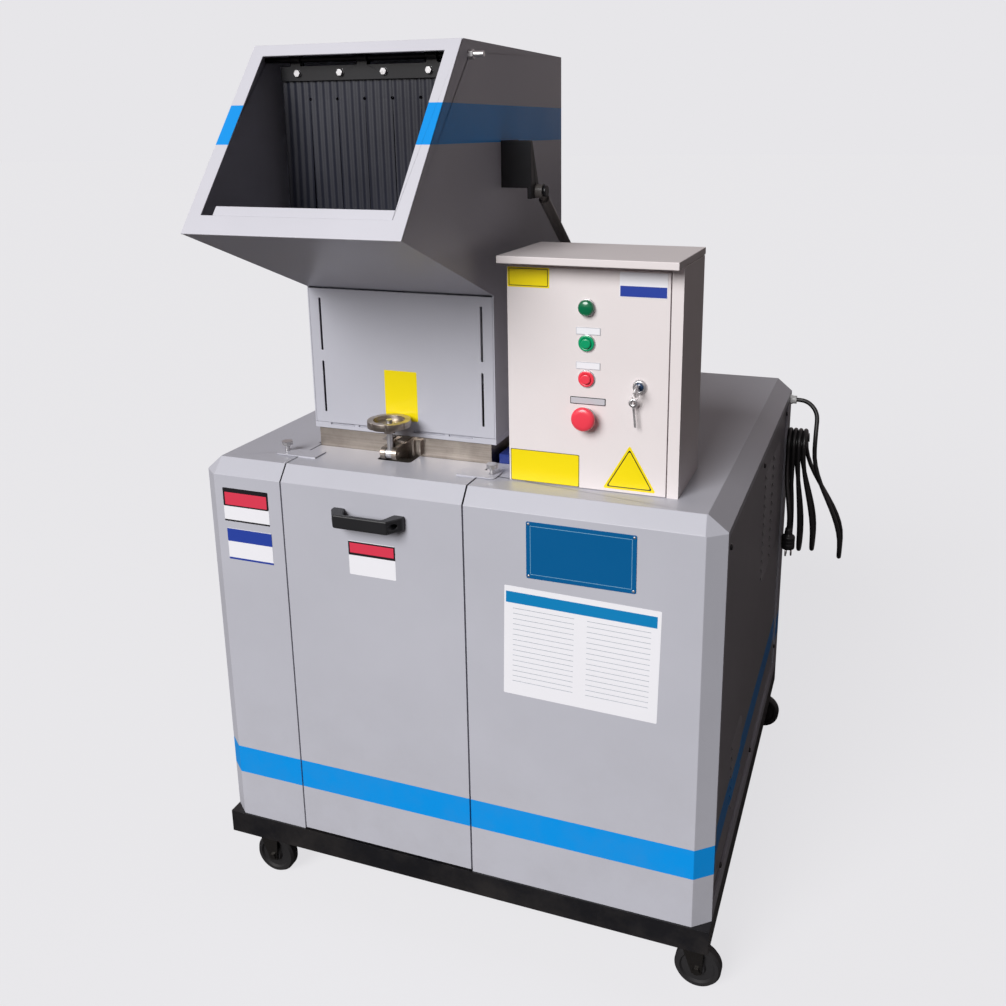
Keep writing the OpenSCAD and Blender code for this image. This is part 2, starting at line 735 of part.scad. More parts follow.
// Collection bin behind the door
bin_t = 2;
bin_gap = 16;
module collection_bin() {
  x0 = door_x + bin_gap + sheet;
  x1 = door_end - bin_gap - sheet;
  y0 = door_return + 3 * hinge_arm_t;
  y1 = chamber_end - 2 * tube_w;
  z = base_z + bin_h / 2;
  lip = 12;
  grip = 50;
  post = 4;
  out = 18;
  color(bright_steel) {
    difference() {
      slab([x0, y0, base_z], [x1, y1, base_z + bin_h]);
      slab([x0 + bin_t, y0 + bin_t, base_z + bin_t], [x1 - bin_t, y1 - bin_t, base_z + bin_h + over]);
    }
    difference() {
      slab([x0 - lip, y0 - lip / 2, base_z + bin_h - bin_t], [x1 + lip, y1 + lip, base_z + bin_h]);
      slab([x0 + bin_t, y0 + bin_t, base_z + bin_h - 2 * bin_t], [x1 - bin_t, y1 - bin_t, base_z + bin_h + over]);
    }
    for (s = [-1, 1]) slab([mid_x + s * grip - post, y0 - out, z], [mid_x + s * grip + post, y0, z + lip]);
    slab([mid_x - grip - post, y0 - out - sheet, z], [mid_x + grip + post, y0 - out + sheet, z + lip]);
  }
}

// Bearing plates, and flanged bearings on their outer faces
plate_t = 20;
plate_gap = 12;
plate_x = [chamber_x0 - plate_gap - plate_t, chamber_x1 + plate_gap];
plate_rise = 18;
bearing_w = 46;
module bearing_plates() {
  color(machine_blue) {
    difference() {
      for (i = [0, 1])
        slab([plate_x[i], open_y0 + over, stand_top + foot_t],
          [plate_x[i] + plate_t, chamber_end - over, top_z + (i == 0 ? -plate_gap : plate_rise)]);
      rod_x(plate_x[0] - over, plate_x[1] + plate_t + over, rotor_y, rotor_z, shaft_d + shaft_room);
    }
    for (y = [chamber_y + tube_w, chamber_end - tube_w]) {
      rod_x(plate_x[0] + plate_t, chamber_x0, y, rotor_z, plate_t);
      rod_x(chamber_x1, plate_x[1], y, rotor_z, plate_t);
    }
  }
}
module bearing_unit() {
  flange = 2.3 * shaft_d;
  hub = 1.75 * shaft_d;
  flange_t = bearing_w * 0.35;
  difference() {
    union() {
      slab([0, -flange / 2, -flange / 2], [flange_t, flange / 2, flange / 2]);
      rod_x(flange_t, bearing_w * 0.8, 0, 0, hub);
      rod_x(flange_t, bearing_w, 0, 0, hub * 0.75);
      for (a = [45:90:315]) rotate([a, 0, 0]) hex_x(flange_t / 2, flange_t * 1.5, flange * 0.55, 0, shaft_d / 3);
    }
    rod_x(-over, bearing_w + over, 0, 0, shaft_d + 2 * run_fit);
  }
}
module bearing_housings() {
  color(machine_blue) {
    translate([plate_x[1] + plate_t, rotor_y, rotor_z]) bearing_unit();
    translate([plate_x[0], rotor_y, rotor_z]) mirror([1, 0, 0]) bearing_unit();
  }
}

// Rotor: shaft and staggered three-winged segments with bolted knives
pulley_w = 62;
pulley_gap = 14;
pulley_x = plate_x[1] + plate_t + bearing_w + pulley_gap;
seg_gap = 4;
seg_l = (inner_x1 - inner_x0 - seg_gap - (segments - 1) * seg_gap) / segments;
wings = 3;
body_d = 70;
wing_back = 0.62 * rotor_r;
fly_t = 12;
fly_w = 46;
function seg_x(i) = inner_x0 + seg_gap / 2 + i * (seg_l + seg_gap);
module rotor() {
  color(bare_steel) {
    rod_x(plate_x[0] - bearing_w - plate_gap, pulley_x + pulley_w + seg_gap, rotor_y, rotor_z, shaft_d);
    rod_x(inner_x0 + seg_gap / 2, inner_x1 - seg_gap / 2, rotor_y, rotor_z, body_d);
    for (i = [0:segments - 1])
      translate([seg_x(i), rotor_y, rotor_z]) rotate([i * stagger, 0, 0]) along_x(0, seg_l) union() {
        circle(d = 2 * wing_back * 0.9);
        for (k = [0:wings - 1]) rotate(k * 360 / wings)
          polygon([[0, 0], [wing_back * 0.9, -wing_back * 0.5], [rotor_r * 0.94 - fly_t * 0.6, -fly_t * 2.4],
            [rotor_r * 0.9, -fly_t], [rotor_r - fly_w, -fly_t], [0, -fly_t]]);
      }
  }
}
module rotor_knives() {
  color(bright_steel) for (i = [0:segments - 1], k = [0:wings - 1])
    translate([seg_x(i), rotor_y, rotor_z]) rotate([i * stagger + k * 360 / wings, 0, 0]) {
      along_x(0, seg_l) polygon([
          [rotor_r - fly_w, -fly_t], [rotor_r * 0.9, -fly_t], [rotor_r - over, 0], [rotor_r - fly_w, 0]]);
      for (u = [0.25, 0.75])
        translate([u * seg_l, rotor_r - fly_w * 0.55, 0]) cylinder(d = fly_t * 1.4, h = fly_t / 2, $fn = 6);
    }
}
groove_d = 10;
groove_top = 17;
groove_low = 11;
groove_rib = 2.5;
belt_w = 9;
belt_t = 9;
function groove_mid(i) = pulley_w / 2 + (i - (belts - 1) / 2) * (groove_top + groove_rib);
module pulley(d, bore, web_holes) {
  rim = 22;
  hub = bore * 1.8;
  r = d / 2;
  difference() {
    rotate([0, 90, 0]) rotate_extrude($fn = 96) difference() {
      translate([bore / 2 + run_fit, 0]) square([r - bore / 2 - run_fit, pulley_w]);
      for (i = [0:belts - 1])
        polygon([[r + over, groove_mid(i) - groove_top / 2 - 0.3 * over], [r + over, groove_mid(i) + groove_top / 2 + 0.3 * over],
          [r - groove_d, groove_mid(i) + groove_low / 2], [r - groove_d, groove_mid(i) - groove_low / 2]]);
      if (web_holes > 0) {
        translate([hub / 2, -over]) square([r - rim - hub / 2, pulley_w * 0.3]);
        translate([hub / 2, pulley_w * 0.7 + over]) square([r - rim - hub / 2, pulley_w * 0.3]);
      }
    }
    for (i = [1:web_holes])
      rotate([i * 360 / web_holes, 0, 0]) rod_x(-over, pulley_w + over, (r - rim + hub / 2) / 2, 0, (r - rim - hub / 2) * 0.6);
  }
}
module rotor_pulley() {
  color(side_grey) translate([pulley_x, rotor_y, rotor_z]) pulley(rotor_pulley_d, shaft_d, 5);
}

// Motor behind the chamber, with its shaft towards the belts
motor_back = 235;
motor_up = 150;
motor_gap = 18;
motor_y = cab_d - motor_back;
motor_z = base_z + motor_up;
motor_d = 220;
motor_l = 300;
motor_foot = 108;
motor_shaft_d = 38;
motor_x1 = pulley_x - motor_gap;
motor_x0 = motor_x1 - motor_l;
fins = 28;
fin_h = 12;
fin_t = 3;
cowl_l = 70;
shield_l = 24;
rail_t = 12;
rail_w = 44;
foot_l = 60;
foot_w = 56;
foot_h = 18;
terminal = [120, 110, 60];
module motor() {
  bed = motor_z - motor_d / 2;
  color(machine_blue) difference() {
    union() {
      rod_x(motor_x0, motor_x1 - shield_l / 2, motor_y, motor_z, motor_d);
      rod_x(motor_x0 - cowl_l, motor_x0 + shield_l, motor_y, motor_z, motor_d + 2 * fin_h + fin_t);
      rod_x(motor_x1 - shield_l, motor_x1, motor_y, motor_z, motor_d + fin_h);
      for (i = [0:fins - 1])
        translate([0, motor_y, motor_z]) rotate([(i + 0.5) * 360 / fins, 0, 0])
          slab([motor_x0 + shield_l / 2, motor_d / 2 - fin_t, -fin_t / 2],
            [motor_x1 - shield_l / 2, motor_d / 2 + fin_h, fin_t / 2]);
      slab([mid_x, motor_y - terminal[1] / 2, motor_z + motor_d / 2 - fin_t],
        [mid_x + terminal[0], motor_y + terminal[1] / 2, motor_z + motor_d / 2 + terminal[2]]);
      for (s = [-1, 1], x = [motor_x0 + 2 * shield_l, motor_x1 - 2 * shield_l - foot_l])
        slab([x, motor_y + s * motor_foot - foot_w / 2, base_z + rail_t],
          [x + foot_l, motor_y + s * motor_foot + foot_w / 2, base_z + rail_t + foot_h]);
      for (x = [motor_x0 + 2 * shield_l, motor_x1 - 2 * shield_l - foot_l])
        slab([x + fin_t, motor_y - motor_foot, base_z + rail_t + fin_t],
          [x + foot_l - fin_t, motor_y + motor_foot, bed + 2 * shield_l]);
      for (s = [-1, 1])
        slab([motor_x0, motor_y + s * motor_foot - rail_w / 2, base_z],
          [motor_x1, motor_y + s * motor_foot + rail_w / 2, base_z + rail_t + fin_t]);
    }
    for (a = [0:30:330], r = [0.16, 0.3, 0.43])
      translate([motor_x0 - cowl_l, motor_y, motor_z]) rotate([a, 0, 0])
        rod_x(-over, fin_h, r * motor_d, 0, motor_d * 0.06);
    rod_x(motor_x1 - 2 * shield_l, motor_x1 + over, motor_y, motor_z, motor_shaft_d + 2 * run_fit);
  }
}
module motor_pulley() {
  color(side_grey) {
    rod_x(motor_x1 - shield_l, pulley_x + pulley_w + fin_t, motor_y, motor_z, motor_shaft_d);
    translate([pulley_x, motor_y, motor_z]) pulley(motor_pulley_d, motor_shaft_d - 4 * run_fit, 0);
  }
}
// Belts that run just clear of the bottoms of both pulleys' grooves
belt_steps = 24;
// Arc of a belt's outline round a pulley, widened so that its flats clear the groove
function belt_arc(c, r, from, to) = [for (i = [0:belt_steps]) let (t = from + (to - from) * i / belt_steps)
  c + r / cos((to - from) / belt_steps / 2) * [cos(t), sin(t)]];
module belt_outline(grow) {
  a = [rotor_y, rotor_z];
  b = [motor_y, motor_z];
  ra = rotor_pulley_d / 2 - groove_d + slip + grow;
  rb = motor_pulley_d / 2 - groove_d + slip + grow;
  way = atan2(b[1] - a[1], b[0] - a[0]);
  lean = acos((ra - rb) / norm(b - a));
  polygon(concat(belt_arc(a, ra, way + lean, way - lean + 360), belt_arc(b, rb, way - lean, way + lean)));
}
module drive_belts() {
  color(rubber_black) for (i = [0:belts - 1])
    along_x(pulley_x + groove_mid(i) - belt_w / 2, pulley_x + groove_mid(i) + belt_w / 2) difference() {
      belt_outline(belt_t);
      belt_outline(0);
    }
}

// Hopper: a neck over the chamber, and a slanted mouth reaching forward
flange_t = 12;
hop_profile = [
  [neck_front, neck_z + flange_t], [neck_front + neck_d, neck_z + flange_t], [neck_front + neck_d, neck_z + hop_h],
  [neck_front - mouth_top_reach, neck_z + hop_h], [neck_front - mouth_reach, neck_z + mouth_low],
  [neck_front, neck_z + neck_h]];
module hopper_shell() {
  color(panel_grey) difference() {
    along_x(hop_x0, hop_x1) polygon(inset_each(hop_profile, [0, 0, 0, hop_t, 0, 0]));
    along_x(hop_x0 + hop_t, hop_x1 - hop_t) polygon(inset_each(hop_profile, [-over, hop_t, hop_t, -past, hop_t, -over]));
    rod_x(hop_x0 - over, hop_x1 + over, curtain_y, curtain_z, rod_d);
  }
}
// Front cover of the neck, with its folding slots
slot_w = 4;
slot_in = 24;
module neck_cover() {
  low = neck_z + flange_t;
  x0 = hop_x0 + hop_t;
  x1 = hop_x1 - hop_t;
  h = neck_h - flange_t;
  color(panel_grey) difference() {
    slab([x0, neck_front, low], [x1, neck_front + hop_t, neck_z + neck_h - hop_t]);
    for (x = [hop_x0 + slot_in, hop_x1 - slot_in - slot_w], z = [0.08, 0.54])
      slab([x, neck_front - over, low + z * h], [x + slot_w, neck_front + hop_t + over, low + (z + 0.38) * h]);
  }
}
module hopper_flange() {
  // Starts and ends of the slots along the front of the flange, as shares of its width
  slot_shares = [[0.09, 0.23], [0.25, 0.33], [0.56, 0.73], [0.75, 0.88]];
  t = flange_t - slip;
  color(panel_grey) difference() {
    union() {
      slab([hop_x0, neck_front, neck_z], [hop_x1, neck_front + neck_d, neck_z + flange_t]);
      for (x = hop_hinge_x) {
        rod_x(x - hop_barrel_l / 2, x + hop_barrel_l / 2, hop_pin_y, hop_pin_z, 2 * hop_ear_r - sheet);
        slab([x - hop_barrel_l / 2, neck_front + neck_d - over, hop_pin_z], [x + hop_barrel_l / 2, hop_pin_y, neck_z + flange_t]);
      }
    }
    slab([hop_x0 + hop_t + side_t, neck_front + wall_t, neck_z - over], [hop_x1 - hop_t - side_t, neck_front + neck_d - wall_t, neck_z + flange_t + over]);
    for (s = slot_shares)
      slab([hop_x0 + s[0] * hop_w, neck_front - over, neck_z + t - slot_w], [hop_x0 + s[1] * hop_w, neck_front + slot_w, neck_z + t]);
    for (x = hop_hinge_x)
      rod_x(x - hop_barrel_l, x + hop_barrel_l, hop_pin_y, hop_pin_z, hop_pin_d + 2 * run_fit);
  }
}
// Mouth frame drawn flat, then leaned back onto the mouth
mouth_l = norm([mouth_reach - mouth_top_reach, hop_h - mouth_low]);
mouth_lean = atan2(hop_h - mouth_low, mouth_reach - mouth_top_reach);
lip_h = 20;
module mouth_frame() {
  color([0.88, 0.88, 0.9]) translate([0, neck_front - mouth_reach, neck_z + mouth_low]) rotate([mouth_lean, 0, 0]) {
    difference() {
      slab([hop_x0, 0, -hop_t], [hop_x1, mouth_l, 0]);
      slab([hop_x0 + ring_side, ring_low, -hop_t - over], [hop_x1 - ring_side, mouth_l - ring_top, over]);
    }
    slab([hop_x0 + ring_side + lip_h, ring_low - sheet, -hop_t - sheet], [hop_x1 - ring_side - sheet, ring_low + lip_h, -hop_t]);
  }
}

// Curtain: a clamped rubber sheet that swings on a rod near the top of the mouth
curtain_back = 27;
curtain_y = neck_front - mouth_top_reach + curtain_back;
curtain_z = neck_z + hop_h - ring_top;
rod_d = 10;
bar_h = 25;
bar_t = 4;
bar_drop = 11;
module curtain_rod() {
  nut = 17;
  nut_t = 9;
  color(bright_steel) {
    rod_x(hop_x0 - 2 * nut_t, hop_x1 + 3 * nut_t, curtain_y, curtain_z, rod_d);
    hex_x(hop_x0 - nut_t, hop_x0, curtain_y, curtain_z, nut);
    hex_x(hop_x1, hop_x1 + nut_t, curtain_y, curtain_z, nut);
  }
}
module curtain_bars() {
  x0 = mid_x - curtain_w / 2;
  x1 = mid_x + curtain_w / 2;
  z1 = curtain_z - bar_drop;
  z0 = z1 - bar_h;
  eye = 20;
  nut = 13;
  nut_t = 5;
  color(frame_black) {
    for (y = [curtain_y - curtain_t / 2 - bar_t, curtain_y + curtain_t / 2])
      slab([x0, y, z0], [x1, y + bar_t, z1]);
    for (x = [x0 + eye, mid_x - eye / 2, x1 - 2 * eye]) difference() {
      union() {
        rod_x(x, x + eye, curtain_y, curtain_z, 2 * (rod_d + run_fit) - sheet);
        slab([x, curtain_y - curtain_t / 2 - bar_t, z1 - over], [x + eye, curtain_y + curtain_t / 2 + bar_t, curtain_z]);
      }
      rod_x(x - over, x + eye + over, curtain_y, curtain_z, rod_d + 2 * run_fit);
    }
    for (i = [-1.5:1.5]) {
      x = mid_x + i * curtain_w * 0.262;
      hex_y(curtain_y - curtain_t / 2 - bar_t - nut_t, curtain_y - curtain_t / 2 - bar_t, x, (z0 + z1) / 2, nut);
      hex_y(curtain_y + curtain_t / 2 + bar_t, curtain_y + curtain_t / 2 + bar_t + nut_t, x, (z0 + z1) / 2, nut);
    }
  }
}
module curtain_sheet() {
  x0 = mid_x - curtain_w / 2;
  z1 = curtain_z - bar_drop - over;
  z0 = curtain_z - curtain_l;
  pitch = curtain_w / curtain_ribs;
  rib = curtain_t * 0.3;
  strips = 6;
  hole = 6;
  color(rubber_black) difference() {
    union() {
      slab([x0, curtain_y - curtain_t / 2, z1 - bar_h + over], [x0 + curtain_w, curtain_y + curtain_t / 2, z1]);
      translate([x0, curtain_y, z0]) linear_extrude(z1 - bar_h - z0 + over) polygon(concat(
          [for (i = [0:curtain_ribs - 1], s = [0, 0.55]) [(i + s) * pitch, -curtain_t / 2 + (s > 0 ? rib : 0)]],
          [[curtain_w, -curtain_t / 2 + rib], [curtain_w, curtain_t / 2], [0, curtain_t / 2]]));
    }
    for (i = [1:strips - 1]) {
      slab([x0 + i * curtain_w / strips - over / 2, curtain_y - curtain_t, z0 - over],
        [x0 + i * curtain_w / strips + over / 2, curtain_y + curtain_t, z1 - 2.2 * bar_h]);
      rod_y(curtain_y - curtain_t, curtain_y + curtain_t, x0 + i * curtain_w / strips, z1 - 2.2 * bar_h, hole);
    }
  }
}

// Gas strut: bracket on the hopper, tube, rod, and a foot on the cabinet
strut_out = 66;
strut_back = 73;
strut_rise = 474;
foot_back = 210;
foot_up = 84;
strut_x = hop_x1 + strut_out;
strut_top_y = neck_front + strut_back;
strut_top_z = neck_z + strut_rise;
strut_low_y = cab_d - foot_back;
strut_low_z = top_z + foot_up;
strut_pin_d = 12;
eye_d = 26;
eye_w = 14;
strut_l = norm([strut_low_y - strut_top_y, strut_top_z - strut_low_z]);
strut_dip = atan2(strut_top_z - strut_low_z, strut_low_y - strut_top_y);
// Draws along the strut: Y runs from the upper pin down to the lower pin
module along_strut() {
  translate([strut_x, strut_top_y, strut_top_z]) rotate([-strut_dip, 0, 0]) children();
}
module strut_bracket() {
  front = strut_top_y - eye_d - over;
  low = strut_top_z + eye_d / 4;
  wide = strut_x - eye_w / 2 - slip - hop_x1;
  t = 8;
  high = 84;
  color(frame_black) {
    slab([hop_x1, front, low], [hop_x1 + wide, front + t, low + high]);
    slab([hop_x1, front, low], [hop_x1 + t / 2, front + high, low + high]);
    along_x(hop_x1 + wide - t, hop_x1 + wide) polygon([
        [front, low + high], [front, strut_top_z - eye_d / 2], [strut_top_y + eye_d / 2, strut_top_z - eye_d / 2],
        [strut_top_y + eye_d / 2, strut_top_z + eye_d / 2], [front + t, low + high]]);
    rod_x(hop_x1 + wide - t, strut_x + eye_w, strut_top_y, strut_top_z, strut_pin_d);
    rod_x(strut_x + eye_w / 2 + slip, strut_x + eye_w, strut_top_y, strut_top_z, eye_d * 0.8);
  }
}
module strut_tube() {
  color(side_grey) along_strut() difference() {
    union() {
      rod_x(-eye_w / 2, eye_w / 2, 0, 0, eye_d);
      rod_y(0, eye_d, 0, 0, strut_pin_d);
      rod_y(eye_d, eye_d + tube_l, 0, 0, tube_d);
      rod_y(eye_d + tube_l - eye_w, eye_d + tube_l, 0, 0, tube_d + sheet);
    }
    rod_x(-eye_w, eye_w, 0, 0, strut_pin_d + 2 * run_fit);
    rod_y(2 * eye_d, eye_d + tube_l + over, 0, 0, strut_rod_d + 2 * run_fit);
  }
}
module strut_rod() {
  color(bright_steel) along_strut() {
    rod_y(strut_l - 2 * eye_d - 0.8 * tube_l, strut_l - eye_d / 3, 0, 0, strut_rod_d);
    rod_x(-eye_w / 2, eye_w / 2, strut_l, 0, eye_d);
    rod_x(-1.6 * eye_w, 1.6 * eye_w, strut_l, 0, strut_rod_d);
  }
}
// Foot with two wide-holed ears that leave the lower pin free
foot_hole = 34;
module strut_foot() {
  ear_t = 6;
  half = eye_w / 2 + sheet;
  color(frame_black) {
    difference() {
      for (x = [strut_x - half - ear_t, strut_x + half]) {
        rod_x(x, x + ear_t, strut_low_y, strut_low_z, foot_hole + 4 * ear_t);
        slab([x, strut_low_y - foot_hole / 2 - 2 * ear_t, top_z], [x + ear_t, strut_low_y + foot_hole / 2 + 2 * ear_t, strut_low_z]);
      }
      rod_x(strut_x - past, strut_x + past, strut_low_y, strut_low_z, foot_hole);
    }
    slab([strut_x - half - 4 * ear_t, strut_low_y - foot_hole, top_z], [strut_x + half + 4 * ear_t, strut_low_y + foot_hole, top_z + ear_t]);
  }
}

// Control box
box_front = box_y + box_door_t + slip;
box_back = box_front + box_d;
box_top = top_z + box_h;
box_lip = 10;
door_left = box_x + box_t;
door_h = box_h - box_lip;
door_low = top_z + over;
module control_box() {
  rim = 2 * box_lip;
  color(box_beige) difference() {
    slab([box_x, box_front, top_z], [box_x1, box_back, box_top]);
    slab([box_x + box_t, box_front + box_t, top_z + box_t], [box_x1 - box_t, box_back - box_t, box_top - box_t]);
    slab([box_x + box_lip, box_front - over, top_z + box_lip], [box_x1 - rim - box_lip, box_front + 2 * box_t, box_top - box_lip]);
  }
  color(box_beige) {
    slab([box_x1 - rim, box_y + over, top_z], [box_x1, box_front + over, box_top]);
    for (z = hinge_levels) box_hinge_ears(z);
  }
}
// Heights of the control box hinges above the box's foot
box_hinge_in = 60;
hinge_levels = [top_z + box_hinge_in, top_z + box_h - box_hinge_in - box_lip];
box_pin_in = 8;
box_pin_back = 7;
box_pin_x = box_x + box_pin_in;
box_pin_y = box_y + box_door_t - box_pin_back;
box_pin_d = 4;
box_knuckle_d = 7;
box_barrel = 10;
box_hinge_l = 24;
module box_hinge_ears(z) {
  for (from = [z - box_hinge_l / 2 - slip - box_barrel, z + box_hinge_l / 2 + slip]) {
    slab([box_pin_x - box_knuckle_d / 2, box_pin_y, from], [box_pin_x + box_knuckle_d / 2, box_front + over, from + box_barrel]);
    rod_z(from, from + box_barrel, box_pin_x, box_pin_y, box_knuckle_d);
  }
  rod_z(z - box_hinge_l / 2 - over, z + box_hinge_l / 2 + over, box_pin_x, box_pin_y, box_pin_d);
}
module control_box_door() {
  x1 = door_left + box_door_w;
  t = box_t;
  color(box_beige) {
    difference() {
      slab([door_left, box_y, door_low], [x1, box_y + box_door_t, door_low + door_h]);
      slab([door_left + t, box_y + t, door_low + t], [x1 - t, box_y + box_door_t + over, door_low + door_h - t]);
      for (c = controls) rod_y(box_y - over, box_y + 2 * t, control_x, top_z + c, control_hole);
      rod_y(box_y - over, box_y + 2 * t, lock_x, lock_z, lock_hole);
      slab([door_left - over, box_pin_y + box_knuckle_d / 2, door_low - over], [box_pin_x - over, box_front, door_low + door_h + over]);
      for (z = hinge_levels, from = [z - box_hinge_l / 2 - box_barrel - 2 * slip, z + box_hinge_l / 2])
        slab([door_left - over, box_y + t, from], [door_left + t + over, box_front, from + box_barrel + 2 * slip]);
    }
    for (z = hinge_levels) difference() {
      union() {
        rod_z(z - box_hinge_l / 2, z + box_hinge_l / 2, box_pin_x, box_pin_y, box_knuckle_d);
        slab([door_left + t / 2, box_pin_y - t, z - box_hinge_l / 2], [box_pin_x, box_pin_y + t, z + box_hinge_l / 2]);
      }
      rod_z(z - box_hinge_l, z + box_hinge_l, box_pin_x, box_pin_y, box_pin_d + 2 * run_fit);
    }
  }
}
// Sheet roof, higher at the front, with a turned-down edge
module control_box_roof() {
  y0 = box_y - roof_front;
  y1 = box_back + roof_t;
  x0 = box_x - box_t - over;
  x1 = box_x1 - over;
  color(box_beige) difference() {
    slab([x0, y0, box_top], [x1, y1, box_top + roof_t]);
    slab([x0 + box_t, y0 + box_t, box_top - over], [x1 - box_t, box_front, box_top + roof_t - box_t]);
  }
}
module mounting_plate() {
  margin = 30;
  stud = 12;
  duct_h = 35;
  relay = [52, 82, 84];
  clip = [17, 42, 56];
  y = box_back - box_t;
  back = y - stud + 2 * box_t;
  face = back - box_t;
  rail_y = face - stud / 2;
  x0 = box_x + margin;
  x1 = box_x1 - margin;
  relay_z = top_z + 0.59 * box_h;
  clip_z = top_z + box_h / 4;
  color([0.85, 0.55, 0.2]) {
    slab([x0, face, top_z + margin], [x1, back, box_top - margin]);
    for (x = [x0 + stud, x1 - 2 * stud], z = [top_z + margin + stud, box_top - margin - 2 * stud])
      slab([x, back, z], [x + stud, y, z + stud]);
  }
  color(bright_steel) for (z = [clip_z + stud, relay_z + 2 * stud])
    slab([x0 + stud, rail_y, z], [x1 - stud, face, z + duct_h]);
  color(frame_black) {
    for (i = [0:2]) slab([x0 + 2 * stud + i * 1.2 * relay[0], rail_y - relay[1], relay_z],
      [x0 + 2 * stud + i * 1.2 * relay[0] + relay[0], rail_y, relay_z + relay[2]]);
    for (i = [0:9]) slab([x0 + 2 * stud + i * 1.15 * clip[0], rail_y - clip[1], clip_z],
      [x0 + 2 * stud + i * 1.15 * clip[0] + clip[0], rail_y, clip_z + clip[2]]);
  }
}
// Controls on the box's door: heights above the box's foot
control_in = 148;
lock_in = 243;
lock_up = 196;
control_x = box_x + control_in;
controls = [328, 266, 203, 135];
control_hole = 22;
bezel_d = 29;
lock_x = box_x + lock_in;
lock_z = top_z + lock_up;
lock_hole = 20;
bezel_t = 5;
barrel_l = 46;
barrel_t = 2;
module bezel(c) {
  color(bright_steel) difference() {
    union() {
      rod_y(box_y - bezel_t, box_y, control_x, top_z + c, bezel_d);
      rod_y(box_y, box_y + barrel_l, control_x, top_z + c, control_hole - 2 * run_fit);
    }
    rod_y(box_y - bezel_t - over, box_y + 0.65 * barrel_l, control_x, top_z + c, control_hole - 2 * barrel_t);
  }
}
module pilot_lamp() {
  lens_t = 8;
  lens_d = 24;
  z = top_z + controls[0];
  color([0.1, 0.5, 0.35]) {
    rod_y(box_y - bezel_t, box_y, control_x, z, bezel_d);
    rod_y(box_y - bezel_t - lens_t, box_y - bezel_t, control_x, z, lens_d);
    rod_y(box_y, box_y + barrel_l, control_x, z, control_hole - 2 * run_fit);
  }
  for (i = [1:3]) bezel(controls[i]);
}
button_stem = control_hole - 2 * barrel_t - 2 * slip;
button_out = 9;
cap_t = 8;
module plunger(c, out, cap_d) {
  rod_y(box_y - out, box_y - out + cap_t, control_x, top_z + c, cap_d);
  rod_y(box_y - out + cap_t / 2, box_y + barrel_l / 2, control_x, top_z + c, button_stem);
}
module green_button() {
  color([0.1, 0.65, 0.4]) plunger(controls[1], button_out, button_stem);
}
module red_button() {
  color([0.95, 0.3, 0.35]) plunger(controls[2], button_out, button_stem);
}
module stop_button() {
  mushroom_d = 40;
  color([0.95, 0.3, 0.35]) plunger(controls[3], 3 * button_out, mushroom_d);
}
// Cam lock with its key
module box_lock() {
  collar_t = 6;
  key_t = 2.5;
  key_l = 24;
  key_h = 8;
  bow_d = 22;
  cam = [12, 3, 34];
  back = box_y + box_door_t - box_t;
  front = box_y - slip - collar_t;
  color(bright_steel) {
    rod_y(front, box_y - slip, lock_x, lock_z, lock_hole + 2 * key_t);
    rod_y(box_y - collar_t / 2, back, lock_x, lock_z, lock_hole - 2 * slip);
    slab([lock_x - cam[0] / 2, back - cam[1], lock_z - cam[0] / 2], [lock_x + cam[0] / 2, back, lock_z - cam[0] / 2 + cam[2]]);
    slab([lock_x - key_t / 2, front - key_l, lock_z - key_h / 2], [lock_x + key_t / 2, front + over, lock_z + key_h / 2]);
    difference() {
      rod_x(lock_x - key_t / 2, lock_x + key_t / 2, front - key_l, lock_z, bow_d);
      rod_x(lock_x - key_t, lock_x + key_t, front - key_l - cam[1], lock_z, collar_t);
    }
  }
}

// Clamp: swing bolt with an eye, and a scalloped handwheel
bolt_rise = 55;
hand_z = clamp_z + bolt_rise;
hub_d = 22;
hub_h = 13;
module swing_bolt() {
  color(bright_steel) difference() {
    union() {
      rod_x(clamp_x - fork_gap / 2 + slip, clamp_x + fork_gap / 2 - slip, clamp_y, clamp_z, 2 * lug_r - 2 * sheet);
      rod_z(clamp_z + pivot_d / 2 + over, hand_z + hand_t, clamp_x, clamp_y, bolt_d);
    }
    rod_x(clamp_x - fork_gap, clamp_x + fork_gap, clamp_y, clamp_z, pivot_d + 2 * run_fit);
  }
}
module handwheel() {
  lobes = 8;
  scallop = hand_d * 0.13;
  color(bare_steel) translate([clamp_x, clamp_y, 0]) difference() {
    union() {
      rod_z(hand_z - hub_h, hand_z + hand_t * 0.5, 0, 0, hub_d);
      difference() {
        rod_z(hand_z, hand_z + hand_t, 0, 0, hand_d);
        rod_z(hand_z + hand_t * 0.4, hand_z + hand_t + over, 0, 0, hand_d * 0.72);
        for (i = [0:lobes - 1]) rotate([0, 0, (i + 0.5) * 360 / lobes])
          rod_z(hand_z - over, hand_z + hand_t + over, hand_d / 2 + scallop * 0.35, 0, scallop);
      }
    }
    rod_z(hand_z - past, hand_z + past, 0, 0, bolt_d + 2 * run_fit);
  }
}

